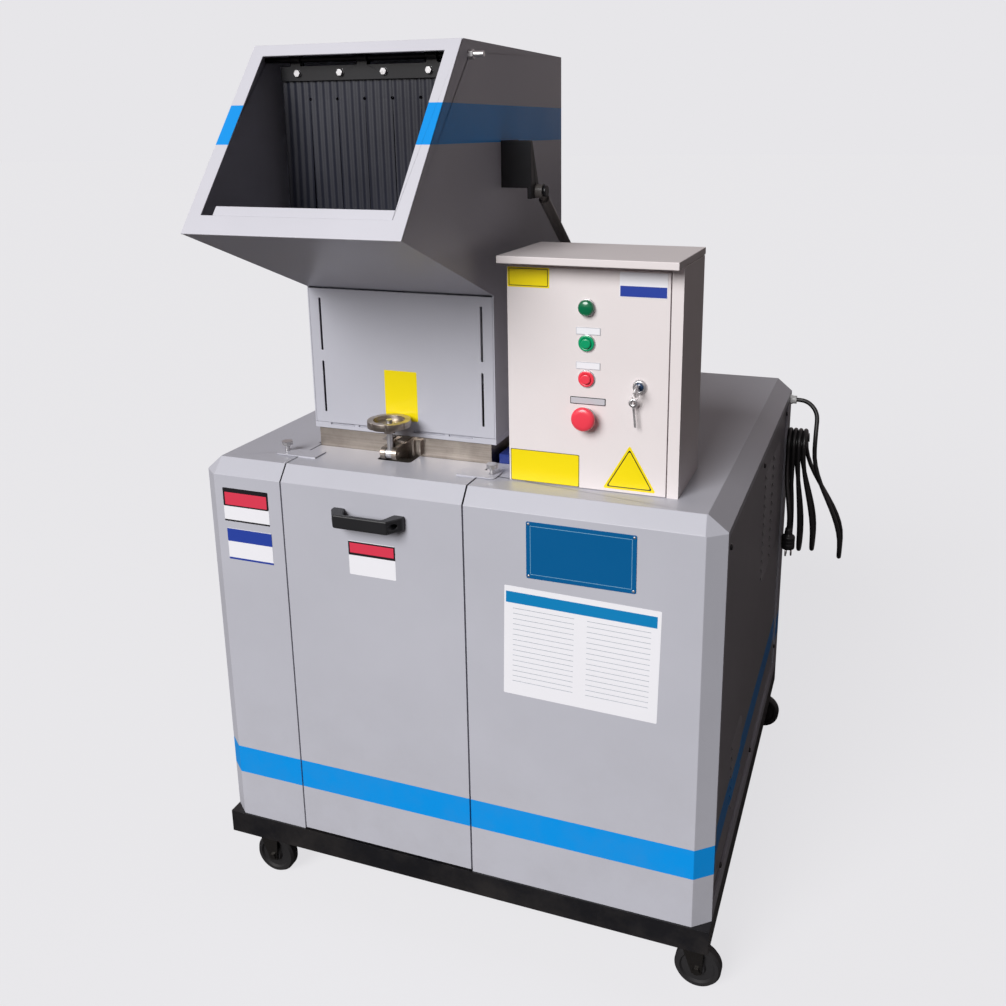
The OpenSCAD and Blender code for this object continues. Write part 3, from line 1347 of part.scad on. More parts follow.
// Casters: plates under the frame's corners, swivel forks and wheels
plate_z = base_z - frame_wall;
caster_plate_t = 4;
race_d = 46;
race_t = 8;
king_d = 12;
fork_t = 3;
axle_d = 10;
axle_z = wheel_d / 2;
caster_spots = [
  [caster_in, caster_in - frame_lip], [cab_w - caster_in, caster_in - frame_lip],
  [caster_in, cab_d - caster_in], [cab_w - caster_in, cab_d - caster_in]];
module caster_plates() {
  side = 2 * (caster_in - frame_wall) - 2 * over;
  color(bright_steel) for (p = caster_spots) difference() {
    union() {
      slab([p[0] - side / 2, p[1] - side / 2, plate_z - caster_plate_t], [p[0] + side / 2, p[1] + side / 2, plate_z]);
      rod_z(plate_z - caster_plate_t - race_t, plate_z - caster_plate_t, p[0], p[1], race_d);
      rod_z(plate_z - caster_plate_t - race_t - king_d, plate_z, p[0], p[1], king_d);
      rod_z(plate_z - caster_plate_t - race_t - king_d, plate_z - caster_plate_t - race_t - king_d / 2, p[0], p[1], king_d + race_t);
    }
  }
}
// Fork: a crown under the race, two legs, and the axle
module fork(p) {
  crown = plate_z - caster_plate_t - race_t - slip;
  half = wheel_w / 2 + fork_t / 2;
  nut = 15;
  nut_t = 5;
  ax = p[0] + trail;
  color(frame_black) {
    difference() {
      union() {
        rod_z(crown - fork_t, crown, p[0], p[1], race_d + nut);
        slab([p[0] - race_d / 2, p[1] - half - fork_t, crown - 3 * fork_t], [ax + race_d / 3, p[1] + half + fork_t, crown]);
      }
      slab([p[0] - past, p[1] - half, crown - 4 * fork_t], [p[0] + past, p[1] + half, crown - fork_t]);
      rod_z(crown - past, crown + over, p[0], p[1], king_d + 2 * run_fit);
    }
    for (s = [-1, 1]) {
      y = s < 0 ? p[1] - half - fork_t : p[1] + half;
      translate([0, y + fork_t, 0]) rotate([90, 0, 0]) linear_extrude(fork_t)
        polygon([[p[0] - race_d / 2, crown - 2 * fork_t], [ax - race_d / 5, axle_z - race_d / 5], [ax + race_d / 5, axle_z - race_d / 5],
          [ax + race_d / 3, crown - 2 * fork_t]]);
      hex_y(s < 0 ? y - nut_t : y + fork_t, s < 0 ? y : y + fork_t + nut_t, ax, axle_z, nut);
    }
    rod_y(p[1] - half - fork_t, p[1] + half + fork_t, ax, axle_z, axle_d);
  }
}
module wheel(p) {
  r = wheel_d / 2;
  bore = axle_d / 2 + run_fit;
  hub = 0.31 * r;
  rim = 0.69 * r;
  color(rubber_black) translate([p[0] + trail, p[1] + wheel_w / 2, axle_z]) rotate([90, 0, 0]) rotate_extrude($fn = 72)
    polygon([[bore, 0], [hub, 0], [hub + fork_t, wheel_w * 0.2], [rim, wheel_w * 0.2], [rim + fork_t, wheel_w * 0.06],
      [r * 0.91, wheel_w * 0.06], [r, wheel_w * 0.25], [r, wheel_w * 0.75], [r * 0.91, wheel_w * 0.94], [rim + fork_t, wheel_w * 0.94],
      [rim, wheel_w * 0.8], [hub + fork_t, wheel_w * 0.8], [hub, wheel_w], [bore, wheel_w]]);
}
module fork_front_left() { fork(caster_spots[0]); }
module fork_front_right() { fork(caster_spots[1]); }
module fork_rear_left() { fork(caster_spots[2]); }
module fork_rear_right() { fork(caster_spots[3]); }
module wheel_front_left() { wheel(caster_spots[0]); }
module wheel_front_right() { wheel(caster_spots[1]); }
module wheel_rear_left() { wheel(caster_spots[2]); }
module wheel_rear_right() { wheel(caster_spots[3]); }

// Supply lead: gland, saddle hook, free stretch, and a hank of four loops over the hook
gland_back = 35;
gland_up = 762;
gland_y = cab_d - gland_back;
gland_z = base_z + gland_up;
gland_d = 24;
gland_thread_d = 18;
gland_out = 16;
hook_y = gland_y;
hook_drop = 116;
hook_z = gland_z - hook_drop;
hook_r = 30;
hook_x0 = cab_w;
module cord_gland() {
  x = cab_w;
  color([0.8, 0.8, 0.8]) {
    rod_x(x - 4 * sheet, x, gland_y, gland_z, gland_thread_d - 2 * slip);
    hex_x(x, x + gland_out * 0.4, gland_y, gland_z, gland_d);
    rod_x(x + gland_out * 0.4, x + gland_out, gland_y, gland_z, gland_d - 2 * sheet);
  }
}
// Saddle: a half-round rest on a backplate, with a turned-up end
module cord_hook() {
  wide = cab_w + hook_out - hook_x0;
  t = 3;
  color(frame_black) {
    difference() {
      rod_x(hook_x0, hook_x0 + wide, hook_y, hook_z, 2 * hook_r);
      rod_x(hook_x0 + t, hook_x0 + wide + over, hook_y, hook_z, 2 * (hook_r - t));
      slab([hook_x0 - over, hook_y - 2 * hook_r, hook_z - 2 * hook_r], [hook_x0 + wide + over, hook_y + 2 * hook_r, hook_z]);
    }
    slab([hook_x0, hook_y - hook_r, hook_z - hook_r / 2], [hook_x0 + t, hook_y + hook_r, hook_z + t]);
  }
}
// Route of the free stretch, from the gland to the start of the hank
cord_steps = [[16, 0, 0], [24, 0, 0], [36, -0.5, -1.5], [47, -2, -6], [56.5, -4.5, -13.5], [64, -8, -23], [68.5, -12.5, -34],
  [70, -17.5, -46], [70, -23, -58], [70, -28, -70], [70, -32, -81.5], [70, -34.5, -93], [70, -35.8, -105]];
cord_route = [for (p = cord_steps) [cab_w, gland_y, gland_z] + p];
function unit(v) = v / norm(v);
function heading(p, i) = unit(p[min(i + 1, len(p) - 1)] - p[max(i - 1, 0)]);
// A ring of points round a route point, square to the route
function ring(p, i, r, n) = let (w = heading(p, i), u = unit(cross(w, [0, 1, 0])), v = cross(w, u))
  [for (k = [0:n - 1]) p[i] + r * (cos(360 * k / n) * u + sin(360 * k / n) * v)];
function side_ring(p, i, r, n) = let (w = heading(p, i), v = unit(cross([1, 0, 0], w)), u = cross(v, w))
  [for (k = [0:n - 1]) p[i] + r * (cos(360 * k / n) * u + sin(360 * k / n) * v)];
module tube(rings) {
  n = len(rings[0]);
  last = len(rings) - 1;
  polyhedron(
    points = [for (q = rings) each q],
    faces = concat(
      [[for (k = [n - 1:-1:0]) k]],
      [for (i = [0:last - 1], k = [0:n - 1]) [i * n + k, i * n + (k + 1) % n, (i + 1) * n + (k + 1) % n]],
      [for (i = [0:last - 1], k = [0:n - 1]) [i * n + k, (i + 1) * n + (k + 1) % n, (i + 1) * n + k]],
      [[for (k = [0:n - 1]) last * n + k]]));
}
module cord_free() {
  sides = 10;
  color(rubber_black) tube([for (i = [0:len(cord_route) - 1]) ring(cord_route, i, cord_d / 2, sides)]);
}
// The hank: each loop goes down in front of the hook, round below, up behind while it
// shifts along the hook, and over the top, and the tail hangs in front with the plug
loops = 4;
loop_rings = 24;
loop_sides = 6;
loop_r = hook_r + cord_d / 2 + slip;
hank_top = hook_z;
hank_out = [70, 43.5, 31, 18.5, 6];
hank_x = [for (x = hank_out) cab_w + x];
loop_drop = [255, 243, 248, 232];
loop_bow = [76, 34, 14, 0];
tail_drop = 190;
tail_shift = [16, -38];
function ease(t) = (1 - cos(180 * t)) / 2;
function down_run(k, t) = [hank_x[k] + loop_bow[k] * ease(t), hook_y - loop_r, hank_top - loop_drop[k] * t];
function low_arc(k, a) = [hank_x[k] + loop_bow[k], hook_y - loop_r * cos(a), hank_top - loop_drop[k] - loop_r * sin(a)];
function up_run(k, t) = [hank_x[k + 1] * (1 - ease(t)) + (hank_x[k] + loop_bow[k]) * ease(t),
  hook_y + loop_r, hank_top - loop_drop[k] * t];
function top_arc(k, a) = [hank_x[k + 1], hook_y + loop_r * cos(a), hank_top + loop_r * sin(a)];
function loop_point(k, j) = let (q = loop_rings / 4, part = floor(j / q), f = (j % q) / q)
  part == 0 ? down_run(k, f) : part == 1 ? low_arc(k, 180 * f) : part == 2 ? up_run(k, 1 - f) : top_arc(k, 180 * f);
function tail_point(t) = [hank_x[loops] + tail_shift[0] * ease(t) * ease(t), hook_y - loop_r + tail_shift[1] * ease(t),
  hank_top - tail_drop * t];
tail_rings = 9;
hank_route = concat(
  [[hank_x[0], hook_y - loop_r, hank_top + cord_d]],
  [for (k = [0:loops - 1], j = [0:loop_rings - 1]) loop_point(k, j)],
  [for (j = [0:tail_rings]) tail_point(j / tail_rings)],
  [tail_point(1) - [0, 0, cord_d]]);
// Least gap between stretches of the hank that are more than a third of a loop apart
function gap_at(i) = min([for (j = [i + loop_rings / 3:len(hank_route) - 1]) norm(hank_route[i] - hank_route[j])]);
hank_gap = min([for (i = [0:len(hank_route) - 1 - loop_rings / 3]) gap_at(i)]) - cord_d;
echo(hank_gap = hank_gap);
assert(hank_gap > 0.04 * cord_d, "the hank's loops touch");
module cord_hank() {
  color(rubber_black) tube([for (i = [0:len(hank_route) - 1]) side_ring(hank_route, i, cord_d / 2, loop_sides)]);
}
plug_d = 34;
plug_l = 55;
module cord_plug() {
  at = hank_route[len(hank_route) - 1];
  pin_l = 20;
  color(frame_black) {
    rod_z(at[2] - plug_l, at[2] - plug_l / 3, at[0], at[1], plug_d);
    rod_z(at[2] - plug_l / 2, at[2], at[0], at[1], plug_d * 0.6);
  }
  color(bright_steel) for (a = [0:120:240])
    rod_z(at[2] - plug_l - pin_l, at[2] - plug_l, at[0] + plug_d / 4 * cos(a), at[1] + plug_d / 4 * sin(a), plug_d / 7);
}

placed() base_frame();
placed() left_cover();
placed() right_cover();
placed() side_panels();
placed() rear_panel();
placed() chamber_stand();
placed() chamber_side_plates();
placed() chamber_walls();
placed() bed_knives();
placed() screen();
placed() discharge_chute();
placed() collection_bin();
placed() bearing_plates();
placed() bearing_housings();
placed() motor();
placed() drive_belts();
placed() control_box();
placed() control_box_roof();
placed() mounting_plate();
placed() strut_foot();
placed() cord_hook();
placed() cord_gland();
placed() cord_free();
placed() cord_hank();
placed() cord_plug();
placed() caster_plates();
placed() fork_front_left();
placed() fork_front_right();
placed() fork_rear_left();
placed() fork_rear_right();
placed() wheel_front_left();
placed() wheel_front_right();
placed() wheel_rear_left();
placed() wheel_rear_right();
placed() front_door();
placed() door_handle();
placed() thumbscrew_left();
placed() thumbscrew_right();
placed() rotor();
placed() rotor_knives();
placed() rotor_pulley();
placed() motor_pulley();
placed() hopper_shell();
placed() neck_cover();
placed() hopper_flange();
placed() mouth_frame();
placed() curtain_rod();
placed() strut_bracket();
placed() curtain_bars();
placed() curtain_sheet();
placed() strut_tube();
placed() strut_rod();
placed() control_box_door();
placed() pilot_lamp();
placed() green_button();
placed() red_button();
placed() stop_button();
placed() box_lock();
placed() swing_bolt();
placed() handwheel();
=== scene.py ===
"""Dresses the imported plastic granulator: enamelled sheet metal, steel, rubber, controls and supply lead."""

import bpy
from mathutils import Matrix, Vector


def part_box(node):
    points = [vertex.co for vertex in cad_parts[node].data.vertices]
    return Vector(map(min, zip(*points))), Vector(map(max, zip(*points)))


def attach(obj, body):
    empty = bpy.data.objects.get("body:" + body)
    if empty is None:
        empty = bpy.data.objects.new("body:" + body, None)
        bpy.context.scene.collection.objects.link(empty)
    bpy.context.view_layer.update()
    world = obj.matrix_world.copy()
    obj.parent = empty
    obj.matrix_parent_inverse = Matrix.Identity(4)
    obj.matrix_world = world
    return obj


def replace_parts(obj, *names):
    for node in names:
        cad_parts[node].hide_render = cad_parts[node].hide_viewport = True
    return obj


bl_info = {
    "name": "Plastic Granulator",
    "version": (1, 0, 0),
    "blender": (4, 5, 0),
    "location": "View3D > Sidebar > Granulator",
    "description": "Builds the finish, trim, controls, supply lead and stage of a plastic granulator",
    "category": "Object",
}

from math import cos, pi, radians, sin, sqrt

import bmesh
import bpy
from bpy.props import FloatProperty, FloatVectorProperty, IntProperty, PointerProperty
from mathutils import Matrix, Vector

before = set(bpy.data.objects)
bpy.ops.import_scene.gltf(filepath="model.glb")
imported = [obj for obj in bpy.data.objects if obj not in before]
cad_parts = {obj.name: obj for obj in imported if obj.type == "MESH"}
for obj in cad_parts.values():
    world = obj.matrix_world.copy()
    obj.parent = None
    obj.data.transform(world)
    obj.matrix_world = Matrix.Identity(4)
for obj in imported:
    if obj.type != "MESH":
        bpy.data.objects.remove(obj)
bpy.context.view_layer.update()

MM = 0.001
# The cabinet's left side and front, from which places across and into the machine are measured
LEFT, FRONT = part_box("left_cover")[0][:2]
CORNERS = ("front_left", "front_right", "rear_left", "rear_right")


def at(x, y, z):
    """A point in millimetres from the cabinet's left side, its front and the floor, in metres in the row frame."""
    return Vector((LEFT + x * MM, FRONT + y * MM, z * MM))


def centre_of(node):
    """Centre of a CAD node's box, in metres."""
    return [(low + high) / 2 for low, high in zip(*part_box(node))]


def tone(red, green, blue):
    """A colour as it looks on a screen, from 0 to 255, as linear red, green, blue and alpha."""
    def linear(value):
        share = value / 255
        return share / 12.92 if share <= 0.04045 else ((share + 0.055) / 1.055) ** 2.4
    return (linear(red), linear(green), linear(blue), 1.0)


# Settings that a user would change

PAINT = {"subtype": "COLOR", "size": 4, "min": 0, "max": 1}


class GranulatorColours(bpy.types.PropertyGroup):
    """Colours of the machine's finishes, with painted light on the mouth frame and painted shade on the side panels.
    """
    panel: FloatVectorProperty(
        name="Panels", description="Enamel of the covers, door and hopper",
        **PAINT, default=tone(190, 190, 199))
    # A lighter copy of the panel colour: painted light on the frame, which faces up into the key light
    mouth: FloatVectorProperty(
        name="Mouth frame", description="Enamel of the flat frame round the hopper's mouth",
        **PAINT, default=tone(211, 210, 218))
    # A darker copy of the panel colour: painted shade on the set-in side panels and the rear
    side: FloatVectorProperty(
        name="Side panels", description="Enamel of the recessed side panels and the rear",
        **PAINT, default=tone(160, 158, 164))
    band: FloatVectorProperty(
        name="Bands", description="Bright band round the cabinet and the hopper",
        **PAINT, default=tone(0, 148, 232))
    box: FloatVectorProperty(
        name="Control box", description="Enamel of the control box",
        **PAINT, default=tone(232, 224, 224))
    machine: FloatVectorProperty(
        name="Machinery", description="Enamel of the motor and the bearings",
        **PAINT, default=tone(20, 46, 124))


class GranulatorSizes(bpy.types.PropertyGroup):
    """Sizes of the trim that dresses the machine."""
    fold: FloatProperty(
        name="Fold radius", description="Radius of the folds and edges of the sheet metal",
        unit="LENGTH", min=0.0002, max=0.003, default=1.4 * MM)
    band_low: FloatProperty(
        name="Band foot", description="Height of the cabinet band's lower edge above the floor",
        unit="LENGTH", default=269 * MM)
    band_high: FloatProperty(
        name="Band head", description="Height of the cabinet band's upper edge above the floor",
        unit="LENGTH", default=331 * MM)
    hopper_band_low: FloatProperty(
        name="Hopper band foot", description="Height of the hopper band's lower edge above the floor",
        unit="LENGTH", default=1571 * MM)
    hopper_band_high: FloatProperty(
        name="Hopper band head", description="Height of the hopper band's upper edge above the floor",
        unit="LENGTH", default=1635 * MM)
    lead: FloatProperty(
        name="Lead", description="Diameter of the supply lead",
        unit="LENGTH", min=0.006, max=0.014, default=11 * MM)
    round_steps: IntProperty(
        name="Round steps", description="Faces round a turned part", min=12, max=96, default=48)


class GranulatorView(bpy.types.PropertyGroup):
    """Camera that looks from the photograph's angle, and the light."""
    eye: FloatVectorProperty(
        name="Eye", description="Place of the camera", subtype="XYZ", unit="LENGTH",
        size=3, default=at(1266.5, -1532.6, 1594.5))
    turn: FloatProperty(
        name="Turn", description="Turn of the camera to the left of the machine's depth",
        unit="ROTATION", default=radians(19.73))
    dip: FloatProperty(
        name="Dip", description="How far the camera looks down", unit="ROTATION", default=radians(14.70))
    roll: FloatProperty(
        name="Roll", description="Roll of the camera", unit="ROTATION", default=radians(-0.36))
    lens: FloatProperty(name="Lens", description="Focal length in millimetres", default=35.71)
    sun: FloatProperty(name="Key light", description="Strength of the key light", min=0, default=3.25)
    fill: FloatProperty(name="Fill light", description="Strength of the light from all round", min=0, default=0.07)


# Node groups that several materials share

COLOUR, VALUE, VECTOR = "NodeSocketColor", "NodeSocketFloat", "NodeSocketVector"
SKIN = [("Colour", COLOUR), ("Roughness", VALUE), ("Height", VALUE)]
GREY = (0.5, 0.5, 0.5, 1)


def new_group(name, inputs, outputs):
    """A node group with inputs (name, kind, default) and outputs (name, kind), and its two end nodes."""
    group = bpy.data.node_groups.new(name, "ShaderNodeTree")
    for label, kind, default in inputs:
        socket = group.interface.new_socket(name=label, in_out="INPUT", socket_type=kind)
        socket.default_value = default
    for label, kind in outputs:
        group.interface.new_socket(name=label, in_out="OUTPUT", socket_type=kind)
    return group, add(group, "NodeGroupInput").outputs, add(group, "NodeGroupOutput").inputs


def add(tree, kind, values=None, **settings):
    """Adds a node, sets its properties, and sets or links its inputs."""
    node = tree.nodes.new(kind)
    for name, value in settings.items():
        setattr(node, name, value)
    for name, value in (values or {}).items():
        if isinstance(value, bpy.types.NodeSocket):
            tree.links.new(value, node.inputs[name])
        else:
            node.inputs[name].default_value = value
    return node


def maths(tree, operation, first, second=0.0, clamp=False):
    """One sum of two values."""
    return add(tree, "ShaderNodeMath", {0: first, 1: second}, operation=operation, use_clamp=clamp).outputs[0]


def vector_maths(tree, operation, first, second, entry=1, leave=0):
    """One sum of a vector and a second value."""
    return add(tree, "ShaderNodeVectorMath", {0: first, entry: second}, operation=operation).outputs[leave]


def noise(tree, place, scale, detail, roughness=0.5):
    """A cloudy pattern from 0 to 1."""
    return add(tree, "ShaderNodeTexNoise", {
        "Vector": place, "Scale": scale, "Detail": detail, "Roughness": roughness}).outputs[0]


def blended(tree, factor, first, second):
    """A colour between two others."""
    return add(tree, "ShaderNodeMix", {0: factor, 6: first, 7: second}, data_type="RGBA").outputs[2]


def ranged(tree, value, start, end, low, high):
    """A value carried over from one range to another."""
    return add(tree, "ShaderNodeMapRange", {
        "Value": value, "From Min": start, "From Max": end, "To Min": low, "To Max": high}).outputs[0]


def feed(group, leave, **results):
    """Links a group's results to its outputs."""
    for label, socket in results.items():
        group.links.new(socket, leave[label])
    return group


def make_speckle():
    """Fine grain and cloudy tint, as in sprayed enamel: a tinted colour, a roughness and a height."""
    group, entry, leave = new_group("speckle", [
        ("Colour", COLOUR, GREY), ("Tint", VALUE, 0.05), ("Roughness", VALUE, 0.4), ("Grain", VALUE, 400.0)], SKIN)
    place = add(group, "ShaderNodeTexCoord").outputs["Object"]
    cloud = noise(group, place, 3.1, 4.0, 0.6)
    grain = noise(group, place, entry["Grain"], 2.0)
    low = maths(group, "SUBTRACT", 1.0, entry["Tint"])
    shade = ranged(group, cloud, 0.3, 0.7, low, 1.0)
    tinted = vector_maths(group, "SCALE", entry["Colour"], shade, "Scale")
    rough = ranged(group, cloud, 0.3, 0.7, 0.85, 1.15)
    roughness = maths(group, "MULTIPLY", entry["Roughness"], rough)
    return feed(group, leave, Colour=tinted, Roughness=roughness, Height=grain)


def make_grime():
    """Dust that gathers low down and in blotches: a mask from 0 to 1."""
    group, entry, leave = new_group(
        "grime", [("Amount", VALUE, 0.2), ("Foot", VALUE, 0.1), ("Head", VALUE, 0.6)], [("Mask", VALUE)])
    place = add(group, "ShaderNodeTexCoord").outputs["Object"]
    height = add(group, "ShaderNodeSeparateXYZ", {0: place}).outputs[2]
    fall = ranged(group, height, entry["Foot"], entry["Head"], 1.0, 0.15)
    spread = ranged(group, noise(group, place, 9.0, 6.0, 0.7), 0.42, 0.72, 0.0, 1.0)
    mask = maths(group, "MULTIPLY", fall, spread)
    return feed(group, leave, Mask=maths(group, "MULTIPLY", mask, entry["Amount"], True))


def make_band():
    """Mask of a level band on the faces that look away from an upright axis."""
    group, entry, leave = new_group("band", [
        ("Foot", VALUE, 0.2), ("Head", VALUE, 0.3), ("Axis X", VALUE, 0.0), ("Axis Y", VALUE, 0.0)],
        [("Mask", VALUE)])
    coords = add(group, "ShaderNodeTexCoord")
    height = add(group, "ShaderNodeSeparateXYZ", {0: coords.outputs["Object"]}).outputs[2]
    above = maths(group, "GREATER_THAN", height, entry["Foot"])
    below = maths(group, "LESS_THAN", height, entry["Head"])
    axis = add(group, "ShaderNodeCombineXYZ", {0: entry["Axis X"], 1: entry["Axis Y"]})
    away = vector_maths(group, "SUBTRACT", coords.outputs["Object"], axis.outputs[0])
    level = vector_maths(group, "MULTIPLY", away, (1, 1, 0))
    outward = vector_maths(group, "DOT_PRODUCT", level, coords.outputs["Normal"], leave="Value")
    outer = maths(group, "GREATER_THAN", outward, 0.0)
    return feed(group, leave, Mask=maths(group, "MULTIPLY", maths(group, "MULTIPLY", above, below), outer))


def make_brushing():
    """Long fine scratches along one axis, as on milled and ground steel: a colour, a roughness and a height."""
    group, entry, leave = new_group("brushing", [
        ("Stretch", VECTOR, (4.0, 300.0, 300.0)), ("Colour", COLOUR, GREY), ("Contrast", VALUE, 0.3)], SKIN)
    place = add(group, "ShaderNodeTexCoord").outputs["Object"]
    lines = noise(group, vector_maths(group, "MULTIPLY", place, entry["Stretch"]), 1.0, 4.0)
    stain = noise(group, place, 22.0, 5.0, 0.65)
    both = maths(group, "ADD", *(maths(group, "MULTIPLY", pattern, 0.5) for pattern in (lines, stain)))
    low = maths(group, "SUBTRACT", 1.0, entry["Contrast"])
    shade = ranged(group, both, 0.35, 0.62, low, 1.0)
    tinted = vector_maths(group, "SCALE", entry["Colour"], shade, "Scale")
    rough = ranged(group, both, 0.35, 0.62, 0.5, 0.28)
    return feed(group, leave, Colour=tinted, Roughness=rough, Height=lines)


MAKERS = {"speckle": make_speckle, "grime": make_grime, "band": make_band, "brushing": make_brushing}
GROUPS = {}


def use_group(tree, name, values):
    """Places a shared group in a material, built once."""
    if name not in GROUPS:
        GROUPS[name] = MAKERS[name]()
    return add(tree, "ShaderNodeGroup", values, node_tree=GROUPS[name])


# Materials

# Depth of the grain in the finishes, in metres
ENAMEL_GRAIN = 0.0004
SMOOTH_GRAIN = 0.0003
DUST = tone(120, 112, 104)


def blank_material(name, values=None):
    """A material with only a Principled shader, with the given inputs, and its output."""
    made = bpy.data.materials.new(name)
    made.use_nodes = True
    tree = made.node_tree
    tree.nodes.clear()
    shader = add(tree, "ShaderNodeBsdfPrincipled", values)
    leave = add(tree, "ShaderNodeOutputMaterial")
    tree.links.new(shader.outputs[0], leave.inputs[0])
    return made, tree, shader


def lay_skin(tree, shader, colour, skin, strength, distance):
    """Feeds a material's colour and its skin's roughness and height to the shader."""
    tree.links.new(colour, shader.inputs["Base Color"])
    tree.links.new(skin.outputs["Roughness"], shader.inputs["Roughness"])
    node = add(tree, "ShaderNodeBump", {"Height": skin.outputs["Height"], "Strength": strength, "Distance": distance})
    tree.links.new(node.outputs[0], shader.inputs["Normal"])


def enamel(name, colour, roughness=0.36, grain=420.0, depth=0.12, tint=0.05, dust=0.12, band=None, coat=0.08):
    """Sprayed enamel with a fine grain, faint clouds and dust low down, and an optional bright band."""
    made, tree, shader = blank_material(name, {
        "Coat Weight": coat, "Coat Roughness": 0.22, "Specular IOR Level": 0.35})
    skin = use_group(tree, "speckle", {"Colour": colour, "Tint": tint, "Roughness": roughness, "Grain": grain})
    dirt = use_group(tree, "grime", {"Amount": dust})
    shown = skin.outputs["Colour"]
    if band:
        mask = use_group(tree, "band", band["place"])
        shown = blended(tree, mask.outputs["Mask"], shown, band["colour"])
    shown = blended(tree, dirt.outputs["Mask"], shown, DUST)
    lay_skin(tree, shader, shown, skin, depth, ENAMEL_GRAIN)
    return made


def steel(name, colour, stretch=(4.0, 300.0, 300.0), contrast=0.35, depth=0.15):
    """Bare steel with scratches along one axis and faint stains."""
    made, tree, shader = blank_material(name, {"Metallic": 1.0})
    skin = use_group(tree, "brushing", {"Stretch": stretch, "Colour": colour, "Contrast": contrast})
    lay_skin(tree, shader, skin.outputs["Colour"], skin, depth, SMOOTH_GRAIN)
    return made


def moulded(name, colour, roughness=0.35, grain=900.0, depth=0.08, tint=0.06, coat=0.0):
    """Moulded plastic or rubber with a faint grain."""
    made, tree, shader = blank_material(name, {"Coat Weight": coat})
    skin = use_group(tree, "speckle", {"Colour": colour, "Tint": tint, "Roughness": roughness, "Grain": grain})
    lay_skin(tree, shader, skin.outputs["Colour"], skin, depth, SMOOTH_GRAIN)
    return made


VINYL = {"roughness": 0.3, "depth": 0.04, "tint": 0.03}
MATT_VINYL = {**VINYL, "roughness": 0.4}
PLATE = {"roughness": 0.3, "depth": 0.04, "dust": 0.0}
GLOSSY = {"roughness": 0.3, "coat": 0.3}

# The finishes with a colour of their own: who makes each, its colour, and its settings
RECIPES = {
    "black enamel": (enamel, (19, 19, 23), {"roughness": 0.38, "tint": 0.3, "dust": 0.1, "coat": 0.15}),
    "orange enamel": (enamel, (215, 120, 40), {}),
    "fork zinc": (steel, (92, 90, 88), {"contrast": 0.5}),
    "milled steel": (steel, (178, 168, 158), {"stretch": (6.0, 40.0, 260.0)}),
    "ground steel": (steel, (205, 204, 203), {"contrast": 0.2}),
    "galvanised sheet": (steel, (185, 188, 190), {"stretch": (30.0, 30.0, 30.0)}),
    "bright zinc": (steel, (214, 213, 214), {"stretch": (200.0, 200.0, 200.0), "contrast": 0.15}),
    "pulley iron": (steel, (96, 96, 100), {"contrast": 0.4}),
    "strut enamel": (enamel, (92, 88, 86), {"roughness": 0.3}),
    "black rubber": (moulded, (30, 31, 36), {"roughness": 0.5, "grain": 600.0, "tint": 0.25}),
    "curtain rubber": (moulded, (30, 32, 45), {"roughness": 0.42, "grain": 160.0, "tint": 0.35}),
    "lead rubber": (moulded, (24, 23, 24), {"roughness": 0.4, "grain": 700.0, "tint": 0.2}),
    "tyre rubber": (moulded, (30, 29, 31), {"roughness": 0.6, "grain": 300.0, "depth": 0.3, "tint": 0.4}),
    "black moulding": (moulded, (27, 27, 30), {"roughness": 0.45, "grain": 1200.0, "depth": 0.2}),
    "grey nylon": (moulded, (205, 205, 205), {}),
    "green cap": (moulded, (0, 160, 105), GLOSSY),
    "green lens": (moulded, (0, 112, 72), {"roughness": 0.2, "coat": 0.6}),
    "red cap": (moulded, (248, 66, 84), GLOSSY),
    "blue barrel": (moulded, (30, 60, 95), {"roughness": 0.25, "coat": 0.4}),
    "white vinyl": (moulded, (243, 242, 247), {**VINYL, "tint": 0.02}),
    "yellow vinyl": (moulded, (246, 222, 8), VINYL), "red vinyl": (moulded, (222, 60, 84), VINYL),
    "blue vinyl": (moulded, (40, 66, 160), VINYL), "azure vinyl": (moulded, (10, 130, 190), VINYL),
    "black vinyl": (moulded, (28, 26, 30), {**VINYL, "tint": 0.1}),
    "grey vinyl": (moulded, (196, 196, 202), MATT_VINYL),
    "rule grey": (moulded, (176, 182, 190), MATT_VINYL),
    "plate blue": (enamel, (0, 92, 148), PLATE),
    "plate line": (enamel, (120, 170, 200), PLATE),
}
# The enamels whose colour the user sets: the setting, the band, and the other settings
PAINTS = {
    "panel enamel": ("panel", "cabinet", {}),
    "hopper enamel": ("panel", "hopper", {"dust": 0.05}),
    # The panel colour made lighter: painted light on the up-facing mouth frame
    "mouth enamel": ("mouth", "hopper", {"dust": 0.03}),
    # The panel colour made darker: painted shade on the set-in side panels and the rear
    "side enamel": ("side", "cabinet", {"dust": 0.2}),
    "box enamel": ("box", None, {"roughness": 0.5, "grain": 650.0, "depth": 0.25, "tint": 0.03}),
    "machine enamel": ("machine", None, {"dust": 0.25}),
}
# Where the upright axis stands that the cabinet's band looks away from, in metres into the machine
BAND_AXIS = 0.1
FINISHES = {}


def finish(name):
    """The named finish, made once from the colours that the user has set."""
    if name in FINISHES:
        return FINISHES[name]
    if name in RECIPES:
        make, colour, settings = RECIPES[name]
        FINISHES[name] = make(name, tone(*colour), **settings)
        return FINISHES[name]
    colours, sizes = bpy.context.scene.granulator_colours, bpy.context.scene.granulator_sizes
    setting, body, settings = PAINTS[name]
    band = None
    if body:
        foot, head, node, depth = {
            "cabinet": (sizes.band_low, sizes.band_high, "rear_panel", BAND_AXIS),
            "hopper": (sizes.hopper_band_low, sizes.hopper_band_high, "neck_cover", 0.0)}[body]
        place = {"Foot": foot, "Head": head, "Axis X": centre_of(node)[0], "Axis Y": depth}
        band = {"colour": tuple(colours.band), "place": place}
    FINISHES[name] = enamel(name, tuple(getattr(colours, setting)), band=band, **settings)
    return FINISHES[name]


